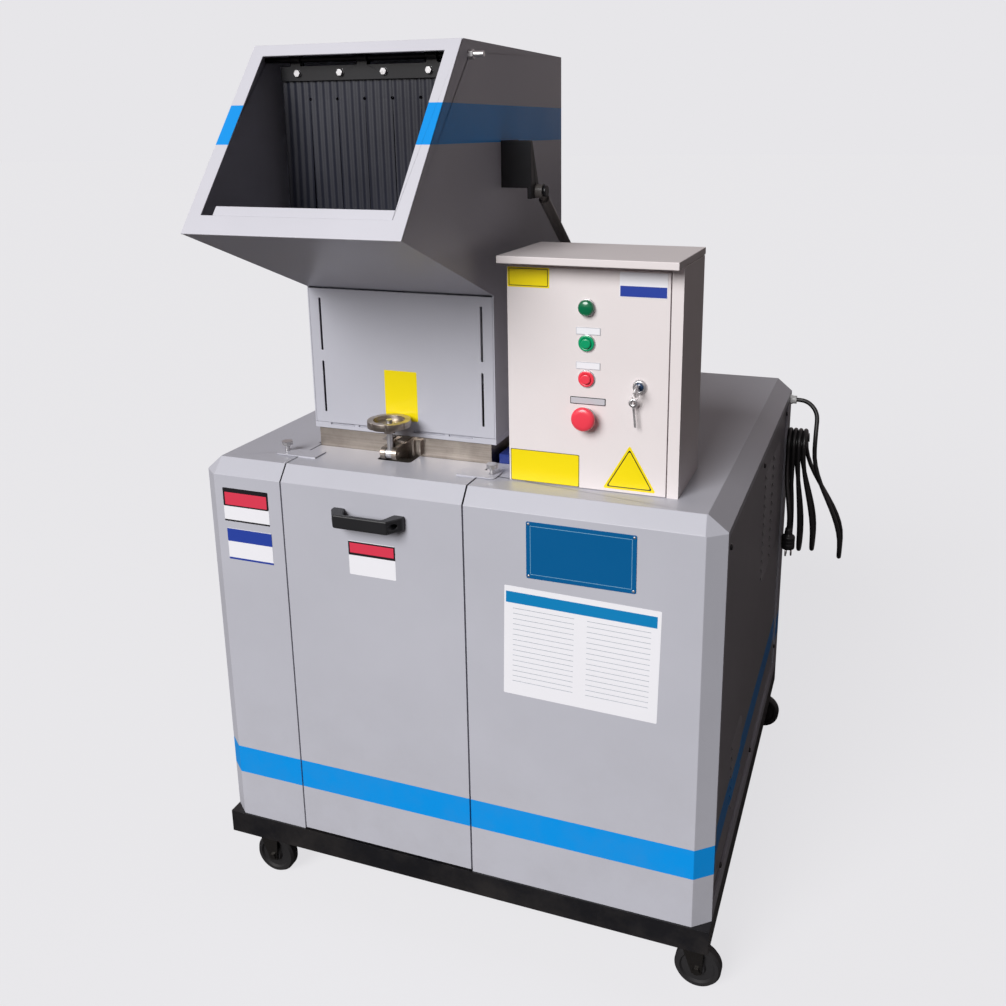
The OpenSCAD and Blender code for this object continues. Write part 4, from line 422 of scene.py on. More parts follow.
def coat(node, label):
    """Gives a CAD node that stays as it is a finish."""
    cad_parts[node].material_slots[0].material = finish(label)


# Mesh helpers

# Area in square metres above which a face counts as flat sheet, not as a facet of a round face
LARGE_FACET = 0.01
# Turn below which two faces lie in one plane, and above which their edge is sharp
FLAT_TURN = 0.01
SHARP_TURN = radians(28)
# How near corners of a CAD mesh are joined, in metres, and how flat faces are
WELD = 2e-5
JOINED_TURN = radians(0.6)
# Steps round the corners of flat plates, and faces round small turned parts
CORNER_STEPS = 4
SMALL_STEPS, SCREW_STEPS, RING_STEPS = 16, 24, 32


def put(name, data):
    """Adds an object with the given data to the scene, at the origin."""
    made = bpy.data.objects.new(name, data)
    bpy.context.scene.collection.objects.link(made)
    return made


def piece_from(bm, name, body, finishes, recalculate=True):
    """Makes an object at the origin from a bmesh whose places are in the row frame."""
    if recalculate:
        bmesh.ops.recalc_face_normals(bm, faces=bm.faces)
    mesh = bpy.data.meshes.new(name)
    bm.to_mesh(mesh)
    bm.free()
    made = put(name, mesh)
    for label in finishes:
        mesh.materials.append(finish(label))
    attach(made, body)
    return made


def soften_edges(made, width, segments=2):
    """Rounds the sharp edges of a piece. The facets of its round faces are shaded smooth, and flat faces stay flat."""
    bm = bmesh.new()
    bm.from_mesh(made.data)
    for face in bm.faces:
        turns = [edge.calc_face_angle(0.0) for edge in face.edges]
        face.smooth = any(FLAT_TURN < turn < SHARP_TURN for turn in turns) and face.calc_area() < LARGE_FACET
    # A face that runs round an opening is cut up, because the bevel would close the opening with it
    hollow = [face for face in bm.faces if len(face.verts) > 4 and not all(loop.is_convex for loop in face.loops)]
    bmesh.ops.triangulate(bm, faces=hollow)
    bm.to_mesh(made.data)
    bm.free()
    bevel = made.modifiers.new("edges", "BEVEL")
    bevel.width = width
    bevel.segments = segments
    bevel.limit_method = "ANGLE"
    bevel.angle_limit = SHARP_TURN
    bevel.harden_normals = True
    bevel.miter_outer = "MITER_ARC"
    return made


def softened(node, body, finishes, width=None, choose=None, segments=2):
    """A copy of a CAD node that stands for it, with rounded edges unless width is 0. choose gives a face's finish."""
    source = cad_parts[node]
    bm = bmesh.new()
    bm.from_mesh(source.data)
    bmesh.ops.remove_doubles(bm, verts=bm.verts, dist=WELD)
    bmesh.ops.dissolve_limit(bm, angle_limit=JOINED_TURN, verts=bm.verts, edges=bm.edges)
    if choose:
        for face in bm.faces:
            face.material_index = choose(face.calc_center_median())
    made = piece_from(bm, node + "_finish", body, finishes, recalculate=False)
    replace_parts(made, node)
    if width == 0:
        return made
    return soften_edges(made, width or bpy.context.scene.granulator_sizes.fold, segments)


def shift(x, y, z):
    """A move in millimetres."""
    return Matrix.Translation((x * MM, y * MM, z * MM))


def facing(point, across, up):
    """Placing matrix whose X runs across, Y runs up, and Z stands out of the surface."""
    x = Vector(across).normalized()
    y = Vector(up).normalized()
    z = x.cross(y)
    turn = Matrix((x, y, z)).transposed().to_4x4()
    return Matrix.Translation(point) @ turn


def on_front(x, y, z, tilt=0.0):
    """Placing matrix on a surface that looks forward."""
    return facing(at(x, y, z), (cos(tilt), 0, sin(tilt)), (-sin(tilt), 0, cos(tilt)))


def on_right(x, y, z):
    """Placing matrix on a surface that looks to the right."""
    return facing(at(x, y, z), (0, 1, 0), (0, 0, 1))


def join(bm, made, place):
    """Adds one bmesh to another at a place."""
    bmesh.ops.transform(made, matrix=place, verts=made.verts)
    carrier = bpy.data.meshes.new("carrier")
    made.to_mesh(carrier)
    made.free()
    bm.from_mesh(carrier)
    bpy.data.meshes.remove(carrier)


def thicken(bm, outline, thickness, radius, place, index=0):
    """Rounds the corners of a flat outline, gives it a thickness and a closed back, and adds it at a place."""
    if radius > 0:
        bmesh.ops.bevel(
            outline, geom=outline.verts[:], offset=radius * MM, segments=CORNER_STEPS, profile=0.5,
            affect="VERTICES", material=-1)
    pulled = bmesh.ops.extrude_face_region(outline, geom=outline.faces[:], use_keep_orig=True)
    moved = [item for item in pulled["geom"] if isinstance(item, bmesh.types.BMVert)]
    bmesh.ops.translate(outline, vec=(0, 0, thickness * MM), verts=moved)
    bmesh.ops.recalc_face_normals(outline, faces=outline.faces)
    for face in outline.faces:
        face.material_index = index
    join(bm, outline, place)


def plate(bm, width, height, thickness, radius, place, index=0):
    """Adds a flat plate with round corners, lying on the surface that place gives. Sizes are in millimetres."""
    outline = bmesh.new()
    bmesh.ops.create_grid(outline, x_segments=1, y_segments=1, size=0.5)
    bmesh.ops.scale(outline, vec=(width * MM, height * MM, 1), verts=outline.verts)
    thicken(bm, outline, thickness, radius, place, index)


def turned(bm, profile, place, index=0, steps=None):
    """Adds a part turned about Z from (radius, height) points in millimetres.

    The points start and end on the axis, or close on themselves.
    """
    made = bmesh.new()
    points = [made.verts.new((radius * MM, 0, height * MM)) for radius, height in profile]
    edges = [made.edges.new(pair) for pair in zip(points, points[1:])]
    count = steps or bpy.context.scene.granulator_sizes.round_steps
    bmesh.ops.spin(
        made, geom=points + edges, cent=(0, 0, 0), axis=(0, 0, 1), angle=2 * pi, steps=count, use_merge=True)
    bmesh.ops.remove_doubles(made, verts=made.verts, dist=1e-6)
    bmesh.ops.recalc_face_normals(made, faces=made.faces)
    for face in made.faces:
        face.material_index = index
        face.smooth = True
    join(bm, made, place)


def socket_screw(bm, diameter, height, place):
    """Adds a screw head seen from outside: a shallow dome with a round socket."""
    radius = diameter / 2
    profile = [
        (0, height * 0.35), (radius * 0.42, height * 0.35), (radius * 0.42, height), (radius * 0.8, height * 0.92),
        (radius, height * 0.45), (radius, 0), (0, 0)]
    turned(bm, profile, place, steps=SCREW_STEPS)


# Operators, one for each group of pieces

# Colours of the backdrop, and of the floor as the camera and as other rays see it
BACKDROP = tone(231, 230, 233)
FLOOR_SEEN = tone(250, 250, 250)
FLOOR_UNSEEN = tone(110, 106, 106)
FLOOR_RADIUS = 60
# Strength of the floor's glow, and its share of what the camera sees
GLOW = 1.055
GLOW_SHARE = 0.86
# Light from all round: its tint, and how much is added in reflections
FILL_TINT = (1.0, 0.88, 0.89, 1)
REFLECTED = 0.30
# Camera: width of its sensor in millimetres, shift of the picture, and how far it sees in metres
SENSOR_WIDTH = 36
LENS_SHIFT = (-0.0368, -0.1123)
SIGHT = 200
# Key light: how wide it looks, and the way it shines
KEY_ANGLE = radians(34)
KEY_AIM = Vector((0.24, 0.84, -0.50))
# Soft panel of light: power in watts, size, place, and the point it looks at, in metres
PANEL_POWER = 7
PANEL_SIZE = (2.4, 1.6)
PANEL_PLACE = Vector((-1.3, -2.6, 2.7))
PANEL_TARGET = Vector((0, 0, 1.1))


class GRANULATOR_OT_stage(bpy.types.Operator):
    """Builds the camera, the lights, the floor and the world"""
    bl_idname = "granulator.stage"
    bl_label = "Stage"
    bl_options = {"REGISTER", "UNDO"}

    def execute(self, context):
        view = context.scene.granulator_view
        camera = put("camera", bpy.data.cameras.new("camera"))
        turn = Matrix.Rotation(view.turn, 4, "Z") @ Matrix.Rotation(radians(90) - view.dip, 4, "X")
        camera.matrix_world = Matrix.Translation(view.eye) @ turn @ Matrix.Rotation(view.roll, 4, "Z")
        camera.data.lens = view.lens
        camera.data.sensor_width = SENSOR_WIDTH
        camera.data.shift_x, camera.data.shift_y = LENS_SHIFT
        camera.data.clip_end = SIGHT
        context.scene.camera = camera
        self.lights(view)
        self.floor()
        self.world(context, view)
        context.scene.view_settings.view_transform = "Standard"
        return {"FINISHED"}

    def lights(self, view):
        """A key light from the front left, and a soft panel near the camera."""
        key = bpy.data.lights.new("key", "SUN")
        key.energy = view.sun
        key.angle = KEY_ANGLE
        put("key", key).rotation_euler = KEY_AIM.to_track_quat("-Z", "Y").to_euler()
        panel = bpy.data.lights.new("panel", "AREA")
        panel.energy = PANEL_POWER
        panel.shape = "RECTANGLE"
        panel.size, panel.size_y = PANEL_SIZE
        soft = put("panel", panel)
        soft.location = PANEL_PLACE
        soft.rotation_euler = (PANEL_TARGET - PANEL_PLACE).to_track_quat("-Z", "Y").to_euler()

    def floor(self):
        """A round floor that fades into the backdrop and takes the shadows."""
        bm = bmesh.new()
        bmesh.ops.create_circle(bm, cap_ends=True, cap_tris=False, segments=96, radius=FLOOR_RADIUS)
        made, tree, shader = blank_material("pale floor", {"Roughness": 0.9, "Specular IOR Level": 0.0})
        glow = add(tree, "ShaderNodeEmission", {"Color": BACKDROP, "Strength": GLOW})
        seen = add(tree, "ShaderNodeLightPath").outputs["Is Camera Ray"]
        tree.links.new(blended(tree, seen, FLOOR_UNSEEN, FLOOR_SEEN), shader.inputs["Base Color"])
        share = maths(tree, "MULTIPLY", seen, GLOW_SHARE)
        mixed = add(tree, "ShaderNodeMixShader", {0: share, 1: shader.outputs[0], 2: glow.outputs[0]})
        leave = next(node for node in tree.nodes if node.type == "OUTPUT_MATERIAL")
        tree.links.new(mixed.outputs[0], leave.inputs[0])
        mesh = bpy.data.meshes.new("floor")
        bm.to_mesh(mesh)
        bm.free()
        mesh.materials.append(made)
        ground = put("floor", mesh)

    def world(self, context, view):
        """The backdrop for the camera, and a dim light from all round for everything else."""
        world = bpy.data.worlds.new("studio")
        context.scene.world = world
        world.use_nodes = True
        tree = world.node_tree
        tree.nodes.clear()
        pale = add(tree, "ShaderNodeBackground", {"Color": BACKDROP, "Strength": 1.0})
        path = add(tree, "ShaderNodeLightPath").outputs
        level = maths(tree, "ADD", maths(tree, "MULTIPLY", path["Is Glossy Ray"], REFLECTED), view.fill)
        dim = add(tree, "ShaderNodeBackground", {"Color": FILL_TINT, "Strength": level})
        mixed = add(tree, "ShaderNodeMixShader", {0: path["Is Camera Ray"], 1: dim.outputs[0], 2: pale.outputs[0]})
        leave = add(tree, "ShaderNodeOutputWorld")
        tree.links.new(mixed.outputs[0], leave.inputs[0])


# The lead's free stretch, from the gland to the start of the hank, in metres
LEAD_ROUTE = [
    (0.510, 0.573, 0.927), (0.518, 0.573, 0.927), (0.530, 0.5725, 0.9255), (0.541, 0.571, 0.921),
    (0.5505, 0.5685, 0.9135), (0.558, 0.565, 0.904), (0.5625, 0.5605, 0.893), (0.564, 0.5555, 0.881),
    (0.564, 0.550, 0.869), (0.564, 0.545, 0.857), (0.564, 0.541, 0.8455), (0.564, 0.5385, 0.834),
    (0.564, 0.5372, 0.822)]
ROUTE_STEPS = 3
# The hank over the hook: where each run lies along the hook, how far each loop hangs and bows, and the tail
HANK_X = [0.564, 0.5375, 0.525, 0.5125, 0.500]
HANK_Y = 0.573
HANK_Z = 0.811
HANK_RADIUS = 0.0358
HANK_STEPS = 12
LOOP_DROP = [0.255, 0.243, 0.248, 0.232]
LOOP_BOW = [0.076, 0.034, 0.014, 0.0]
TAIL_DROP = 0.190
TAIL_SHIFT = (0.016, -0.038)
TAIL_END = 0.011
# The plug, down from the end of the lead, and its pins, as (radius, height) in millimetres
PLUG = [
    (0, 0), (7.5, 0), (9, 4), (10.2, 14), (10.2, 18), (15.5, 21), (17, 24), (17, 30), (16, 31.5), (17, 33), (17, 38),
    (16, 39.5), (17, 41), (17, 52), (16, 55), (0, 55)]
PIN = [(0, 54), (2.4, 54), (2.4, 73.5), (1.6, 75), (0, 75)]
PIN_CIRCLE = 8.5


def ease(share):
    """A share from 0 to 1 that starts and ends gently."""
    return (1 - cos(pi * share)) / 2


def smooth_line(points, steps):
    """Points along a smooth line through the given ones."""
    knots = [Vector(point) for point in (points[0], *points, points[-1])]
    line = []
    for before, first, second, after in zip(knots, knots[1:], knots[2:], knots[3:]):
        square = 2 * before - 5 * first + 4 * second - after
        cube = 3 * first - before - 3 * second + after
        for k in range(steps):
            t = k / steps
            line.append(0.5 * (2 * first + (second - before) * t + square * t * t + cube * t ** 3))
    return line + [knots[-1]]


def hank_line():
    """The lead's path over the hook: four loops and a tail."""
    front, back = HANK_Y - HANK_RADIUS, HANK_Y + HANK_RADIUS
    shares = [i / HANK_STEPS for i in range(HANK_STEPS)]
    angles = [pi * i / HANK_STEPS for i in range(HANK_STEPS)]
    arc = [(HANK_RADIUS * cos(a), HANK_RADIUS * sin(a)) for a in angles]
    line = []
    for k, (drop, bow) in enumerate(zip(LOOP_DROP, LOOP_BOW)):
        start, low, end = HANK_X[k], HANK_X[k] + bow, HANK_X[k + 1]
        line += [(start + bow * ease(t), front, HANK_Z - drop * t) for t in shares]
        line += [(low, HANK_Y - y, HANK_Z - drop - z) for y, z in arc]
        line += [(end * (1 - ease(1 - t)) + low * ease(1 - t), back, HANK_Z - drop * (1 - t)) for t in shares]
        line += [(end, HANK_Y + y, HANK_Z + z) for y, z in arc]
    for i in range(2 * HANK_STEPS + 1):
        t = i / (2 * HANK_STEPS)
        x, y = HANK_X[-1] + TAIL_SHIFT[0] * ease(t) ** 2, front + TAIL_SHIFT[1] * ease(t)
        line.append((x, y, HANK_Z - TAIL_DROP * t))
    line.append((line[-1][0], line[-1][1], line[-1][2] - TAIL_END))
    return [Vector(point) for point in line]


class GRANULATOR_OT_supply_lead(bpy.types.Operator):
    """Builds the supply lead that hangs in loops over its hook, with its plug"""
    bl_idname = "granulator.supply_lead"
    bl_label = "Supply lead"
    bl_options = {"REGISTER", "UNDO"}

    def execute(self, context):
        line = smooth_line(LEAD_ROUTE, ROUTE_STEPS) + hank_line()
        curve = bpy.data.curves.new("supply_lead", "CURVE")
        curve.dimensions = "3D"
        curve.bevel_depth = context.scene.granulator_sizes.lead / 2
        curve.bevel_resolution = 4
        curve.use_fill_caps = True
        spline = curve.splines.new("POLY")
        spline.points.add(len(line) - 1)
        for point, place in zip(spline.points, line):
            point.co = (*place, 1)
        spline.use_smooth = True
        lead = put("supply_lead", curve)
        curve.materials.append(finish("lead rubber"))
        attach(lead, "cabinet")
        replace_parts(lead, "cord_free", "cord_hank")
        plug = self.plug(line[-1])
        coat("cord_gland", "grey nylon")
        return {"FINISHED"}

    def plug(self, end):
        """Round moulded plug with grip rings and three pins, hanging down."""
        low = Matrix.Translation(end) @ Matrix.Rotation(pi, 4, "X")
        bm = bmesh.new()
        turned(bm, PLUG, low)
        for angle in (0, 120, 240):
            turn = radians(angle)
            spot = low @ shift(PIN_CIRCLE * cos(turn), PIN_CIRCLE * sin(turn), 0)
            turned(bm, PIN, spot, 1, steps=SMALL_STEPS)
        made = piece_from(bm, "lead_plug", "cabinet", ["black moulding", "ground steel"])
        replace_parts(made, "cord_plug")
        return made


class GRANULATOR_OT_sheet_metal(bpy.types.Operator):
    """Rounds the folds of the covers, door, hopper and control box, and enamels them"""
    bl_idname = "granulator.sheet_metal"
    bl_label = "Sheet metal"
    bl_options = {"REGISTER", "UNDO"}

    def execute(self, context):
        for node in ("left_cover", "right_cover"):
            softened(node, "cabinet", ["panel enamel"])
        # Painted shade: the set-in side panels and the rear get a darker copy of the panel enamel
        for node in ("side_panels", "rear_panel"):
            coat(node, "side enamel")
        softened("front_door", "door", ["panel enamel"])
        for node in ("hopper_shell", "neck_cover", "hopper_flange"):
            softened(node, "hopper", ["hopper enamel"])
        # Painted light: the up-facing mouth frame gets a lighter copy of the panel enamel
        softened("mouth_frame", "hopper", ["mouth enamel"])
        for node in ("control_box", "control_box_roof"):
            softened(node, "cabinet", ["box enamel"])
        softened("control_box_door", "box_door", ["box enamel"], 1.8 * MM)
        for node in ("base_frame", "chamber_stand", "strut_foot", "cord_hook"):
            softened(node, "cabinet", ["black enamel"])
        softened("strut_bracket", "hopper", ["black enamel"])
        softened("door_handle", "door", ["black moulding"], 3.0 * MM, segments=3)
        return {"FINISHED"}


# CAD nodes that keep their own meshes, by finish
COATED = {
    "milled steel": ["chamber_side_plates", "chamber_walls", "rotor", "screen"],
    "ground steel": ["bed_knives", "rotor_knives", "strut_rod"],
    "galvanised sheet": ["discharge_chute", "collection_bin"],
    "machine enamel": ["bearing_plates", "bearing_housings", "motor"],
    "pulley iron": ["rotor_pulley", "motor_pulley"],
    "black rubber": ["drive_belts"],
    "strut enamel": ["strut_tube"],
    "fork zinc": ["caster_plates"] + ["fork_" + corner for corner in CORNERS],
    "tyre rubber": ["wheel_" + corner for corner in CORNERS],
    "bright zinc": ["swing_bolt", "thumbscrew_left", "thumbscrew_right"],
}
# On the mounting plate: thickness of the plate in millimetres, foot of the relays, and foot and head of the terminals
PANEL_DEPTH = 19
RELAYS_FOOT = 1.2
TERMINALS = (1.06, 1.135)
# The curtain, in millimetres: pitch and half height of its ribs, radius and depth of its holes, and half the gap
# between two strips at the top and below
RIB_PITCH = 14.1
RIB_HEIGHT = 0.75
HOLE_RADIUS, HOLE_DEPTH = 3.0, 55
GAP_TOP, GAP_BELOW = 0.02, 0.4
# Depths below the top of the sheet, close together at the holes, in millimetres
SHEET_DEPTHS = (0, 25, 45, 51, 52, 52.4, 53, 54, 55, 56, 57, 57.6, 58, 60, 80, 110, 150, 190, 230, 270)
# How far each strip's foot hangs aside, and how far its middle bows, in millimetres
STRIP_DRIFT = ((-4.0, 0.5), (1.2, -0.6), (1.0, 0.4), (1.8, -0.5), (1.5, 0.6), (2.0, -0.4))
STRIP_STEPS = 30


class GRANULATOR_OT_machinery(bpy.types.Operator):
    """Gives the cutting chamber, rotor, drive, strut and casters their finishes"""
    bl_idname = "granulator.machinery"
    bl_label = "Machinery"
    bl_options = {"REGISTER", "UNDO"}

    def execute(self, context):
        for label, nodes in COATED.items():
            for node in nodes:
                coat(node, label)
        softened("handwheel", "handwheel", ["milled steel"], 2.0 * MM, segments=3)
        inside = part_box("neck_cover")[1][0] - 1 * MM
        softened("curtain_rod", "hopper", ["black enamel", "bright zinc"], 0.5 * MM,
                 choose=lambda centre: int(centre.x > inside))
        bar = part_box("curtain_sheet")
        front, back = bar[0][1] - 5 * MM, bar[1][1] + 5 * MM
        softened("curtain_bars", "curtain", ["black enamel", "bright zinc"], 0.8 * MM,
                 choose=lambda centre: int((centre.y < front or centre.y > back) and centre.z < bar[1][2]))
        self.curtain()
        self.mounting_plate()
        return {"FINISHED"}

    def mounting_plate(self):
        """Gives the plate inside the control box its orange enamel, and its relays and terminals their finishes."""
        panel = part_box("mounting_plate")[1][1] - PANEL_DEPTH * MM

        def part(centre):
            if centre.y > panel:
                return 0
            if centre.z > RELAYS_FOOT:
                return 1
            return 2 if TERMINALS[0] < centre.z < TERMINALS[1] else 3

        finishes = ["orange enamel", "black moulding", "grey nylon", "galvanised sheet"]
        softened("mounting_plate", "cabinet", finishes, 0, part)

    def curtain(self):
        """Ribbed rubber sheet, cut from its holes down into strips that hang a little apart."""
        low, high = (Vector(corner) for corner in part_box("curtain_sheet"))
        wide, hole, pitch, count = high.x - low.x, HOLE_RADIUS * MM, RIB_PITCH * MM, len(STRIP_DRIFT)
        levels = [high.z - depth * MM for depth in SHEET_DEPTHS] + [low.z]
        centre = high.z - HOLE_DEPTH * MM
        bm = bmesh.new()
        for k, (drift, sway) in enumerate(STRIP_DRIFT):
            rings = []
            for z in levels:
                down = max(0.0, centre - z) / (centre - low.z)
                notch = sqrt(max(0.0, hole ** 2 - (z - centre) ** 2))
                gap = max(GAP_TOP * MM + GAP_BELOW * MM * min(1.0, down * 8), notch)
                left = low.x + wide * k / count + (gap if k else 0)
                right = low.x + wide * (k + 1) / count - (gap if k + 1 < count else 0)
                across, back = drift * MM * down ** 1.3, sway * MM * sin(pi * down)
                ring = []
                for i in range(STRIP_STEPS + 1):
                    x = left + (right - left) * i / STRIP_STEPS
                    rib = RIB_HEIGHT * MM * (1 - cos(2 * pi * (x - low.x) / pitch))
                    ring.append(bm.verts.new((x + across, low.y + rib + back, z)))
                ring += [bm.verts.new((x + across, high.y + back, z)) for x in (right, left)]
                rings.append(ring)
            for upper, lower in zip(rings, rings[1:]):
                for i in range(len(upper)):
                    j = (i + 1) % len(upper)
                    bm.faces.new((upper[i], upper[j], lower[j], lower[i]))
            bm.faces.new(rings[0])
            bm.faces.new(rings[-1])
        made = soften_edges(piece_from(bm, "curtain_strips", "curtain", ["curtain rubber"]), 0.3 * MM)
        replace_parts(made, "curtain_sheet")


# Turned parts of the controls, as (radius, height above the box's door) in millimetres
OPERATOR_BEZEL = [(9.1, -46), (11, -46), (11, 0), (15.2, 0), (15.2, 2.2), (14.4, 3.2), (9.1, 3.2), (9.1, -46)]
COLOURED_RING = [(9.1, 3), (14.2, 3), (14.2, 4.2), (13.3, 5), (9.1, 5), (9.1, 3)]
LAMP_BEZEL = [(0, -46), (11, -46), (11, 0), (15.2, 0), (15.2, 2.2), (14.4, 3.2), (0, 3.2)]
LAMP_LENS = [(0, 3), (14, 3), (14, 7.5), (13.2, 10.4), (10, 12.2), (0, 13)]
LENS_RINGS = (4.0, 8.0, 11.4)
BUTTON = [(0, -20), (8.7, -20), (8.7, 7.6), (8.0, 8.8), (6.4, 8.9), (0, 8.4)]
STOP_BUTTON = [
    (0, -20), (8.7, -20), (8.7, 15), (12, 17.2), (20.8, 18.2), (21.6, 20), (20.8, 24), (18, 26.4), (12, 27.2),
    (0, 27.4)]
LOCK_BODY = [(0, -13), (9.4, -13), (9.4, 0), (12.5, 0), (12.5, 2), (11.4, 5), (9.4, 6), (8.2, 5.2), (0, 5.2)]
LOCK_BARREL = [(0, 5), (7.6, 5), (7.2, 6.2), (0, 6.4)]
KEY_BOW = [(3, 0), (10.6, 0), (11.2, 0.6), (11.2, 1.8), (10.6, 2.4), (3, 2.4), (3, 0)]
KEY_RING = [(8.2, 0), (9, 0.8), (9.8, 0), (9, -0.8), (8.2, 0)]
# How far the lamp's axis lies below the top of its bezel, and the lock's above its foot, in millimetres
LAMP_DROP = 14.5
LOCK_RISE = 12.5
# Legend plates: the button, the rise above it, the width and height, and the finishes of the edge and the face
LEGENDS = (
    ("green_button", 21, 44, 13, 0, 1), ("red_button", 23, 44, 13, 0, 1), ("stop_button", 28, 64, 13, 2, 0))
LEGEND_ASIDE = 2.5


class GRANULATOR_OT_controls(bpy.types.Operator):
    """Builds the lamp, the push buttons, the stop button, their bezels and blank legend plates, and the lock"""
    bl_idname = "granulator.controls"
    bl_label = "Controls"
    bl_options = {"REGISTER", "UNDO"}

    def execute(self, context):
        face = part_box("control_box_door")[0][1]
        height = {name: centre_of(name)[2] for name in ("green_button", "red_button", "stop_button")}
        lamp_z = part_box("pilot_lamp")[1][2] - LAMP_DROP * MM
        middle = centre_of("green_button")[0]

        def out(z, x=middle):
            return facing(Vector((x, face, z)), (1, 0, 0), (0, 0, 1))

        bm = bmesh.new()
        for name, index in (("green_button", 2), ("red_button", 3), ("stop_button", 0)):
            turned(bm, OPERATOR_BEZEL, out(height[name]))
            turned(bm, COLOURED_RING, out(height[name]), index)
        turned(bm, LAMP_BEZEL, out(lamp_z))
        turned(bm, LAMP_LENS, out(lamp_z), 1)
        for ring in LENS_RINGS:
            ridge = [(ring - 0.7, 11.2), (ring, 13.6 - ring * 0.12), (ring + 0.7, 11.2), (ring - 0.7, 11.2)]
            turned(bm, ridge, out(lamp_z), 1)
        finishes = ["bright zinc", "green lens", "green cap", "red cap"]
        made = piece_from(bm, "operator_bezels", "box_door", finishes, recalculate=False)
        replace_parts(made, "pilot_lamp")
        for name, label in (("green_button", "green cap"), ("red_button", "red cap")):
            bm = bmesh.new()
            turned(bm, BUTTON, out(height[name]))
            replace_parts(piece_from(bm, name + "_cap", name, [label], recalculate=False), name)
        bm = bmesh.new()
        turned(bm, STOP_BUTTON, out(height["stop_button"]))
        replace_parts(piece_from(bm, "stop_button_head", "stop_button", ["red cap"], recalculate=False), "stop_button")
        self.legends(height, out, middle)
        self.lock(out)
        return {"FINISHED"}

    def legends(self, height, out, middle):
        """Blank legend plates above the buttons."""
        bm = bmesh.new()
        for name, rise, wide, high, edge, face in LEGENDS:
            spot = out(height[name] + rise * MM, middle + LEGEND_ASIDE * MM)
            plate(bm, wide, high, 1.0, 0.8, spot, edge)
            plate(bm, wide - 2.4, high - 2.4, 1.15, 0.5, spot, face)
        made = piece_from(bm, "legend_plates", "box_door", ["grey vinyl", "white vinyl", "black vinyl"])
        soften_edges(made, 0.2 * MM)

    def lock(self, out):
        """Cam lock with its key in it and a second key on the ring."""
        spot = out(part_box("box_lock")[0][2] + LOCK_RISE * MM, centre_of("box_lock")[0])
        bm = bmesh.new()
        turned(bm, LOCK_BODY, spot)
        turned(bm, LOCK_BARREL, spot, 1)
        plate(bm, 2.4, 8, 22, 0.4, spot @ shift(0, 0, 5))
        key = spot @ shift(0, -6, 25) @ Matrix.Rotation(radians(90), 4, "Y")
        self.bow(bm, key @ shift(0, 4, -1.2))
        hanging = spot @ shift(-8, -26, 13) @ Matrix.Rotation(radians(6), 4, "Z")
        self.bow(bm, hanging, 0.7)
        plate(bm, 3.6, 36, 2, 0.8, hanging @ shift(0, -25, 0))
        ring = spot @ shift(-3, -13, 20) @ Matrix.Rotation(radians(70), 4, "Y")
        turned(bm, KEY_RING, ring, steps=RING_STEPS)
        made = piece_from(bm, "lock_and_keys", "box_lock", ["bright zinc", "blue barrel"])
        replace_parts(made, "box_lock")

    def bow(self, bm, place, share=1.0):
        """Round bow of a key, with its hole."""
        turned(bm, [(radius * share, height) for radius, height in KEY_BOW], place, steps=RING_STEPS)


# Decals, as blocks of (x, z, width, height, finish) in millimetres, a later one lying on the earlier ones
COVER_DECALS = [
    (103, 880, 104, 70, "white vinyl"), (103, 896, 104, 38, "black vinyl"), (103, 893, 96, 26, "red vinyl"),
    (103, 847, 104, 3.5, "black vinyl"), (105.5, 797, 103, 66, "white vinyl"), (105.5, 816, 103, 27, "blue vinyl"),
    (105.5, 766, 103, 4, "blue vinyl")]
DOOR_DECAL = [
    (377.5, 806.5, 99, 69, "white vinyl"), (377.5, 826, 99, 28, "black vinyl"), (377.5, 827, 93, 20, "red vinyl")]
NECK_DECAL = [(375, 1090, 70, 100, "yellow vinyl")]
BOX_DECALS = [
    (669.5, 1346, 77, 35, "yellow vinyl"), (669.5, 1346, 72, 30.5, "black vinyl"),
    (669.5, 1346, 69.5, 28, "yellow vinyl"), (698, 1003, 130, 60, "black vinyl"), (698, 1003, 128, 58, "yellow vinyl"),
    (874, 1341, 82, 42, "white vinyl"), (874, 1330, 80, 18, "blue vinyl")]
INSTRUCTION_SHEET = [(789, 687, 290, 218, "white vinyl"), (789, 774, 280, 22, "azure vinyl")]
# Thickness of a decal, and how much higher each later block lies, in millimetres
DECAL_THICKNESS, DECAL_RISE = 0.25, 0.06
# The three-cornered decal: place, and the radius, thickness and finish of each layer
TRIANGLE_X, TRIANGLE_Z = 855, 1005
TRIANGLE_LAYERS = ((55, 0.3, 0), (48, 0.36, 1), (44.5, 0.42, 0))
# The sheet hangs a little askew, in degrees. Its rules: the columns, their number, the pitch, and the first one's rise
SHEET_TILT = -1.2
RULE_COLUMNS, RULES, RULE_PITCH, RULE_TOP = (-70, 70), 15, 10.5, 66
# The nameplate: place and size, how far its border line and its rivets lie inside the edge
PLATE_X, PLATE_Z, PLATE_WIDE, PLATE_HIGH = 789.5, 873, 201, 108
BORDER, RIVET_INSET = 8, 4.5
RIVET = [(0, 1.6), (1.6, 1.3), (2.6, 0.4), (2.6, 0), (0, 0)]


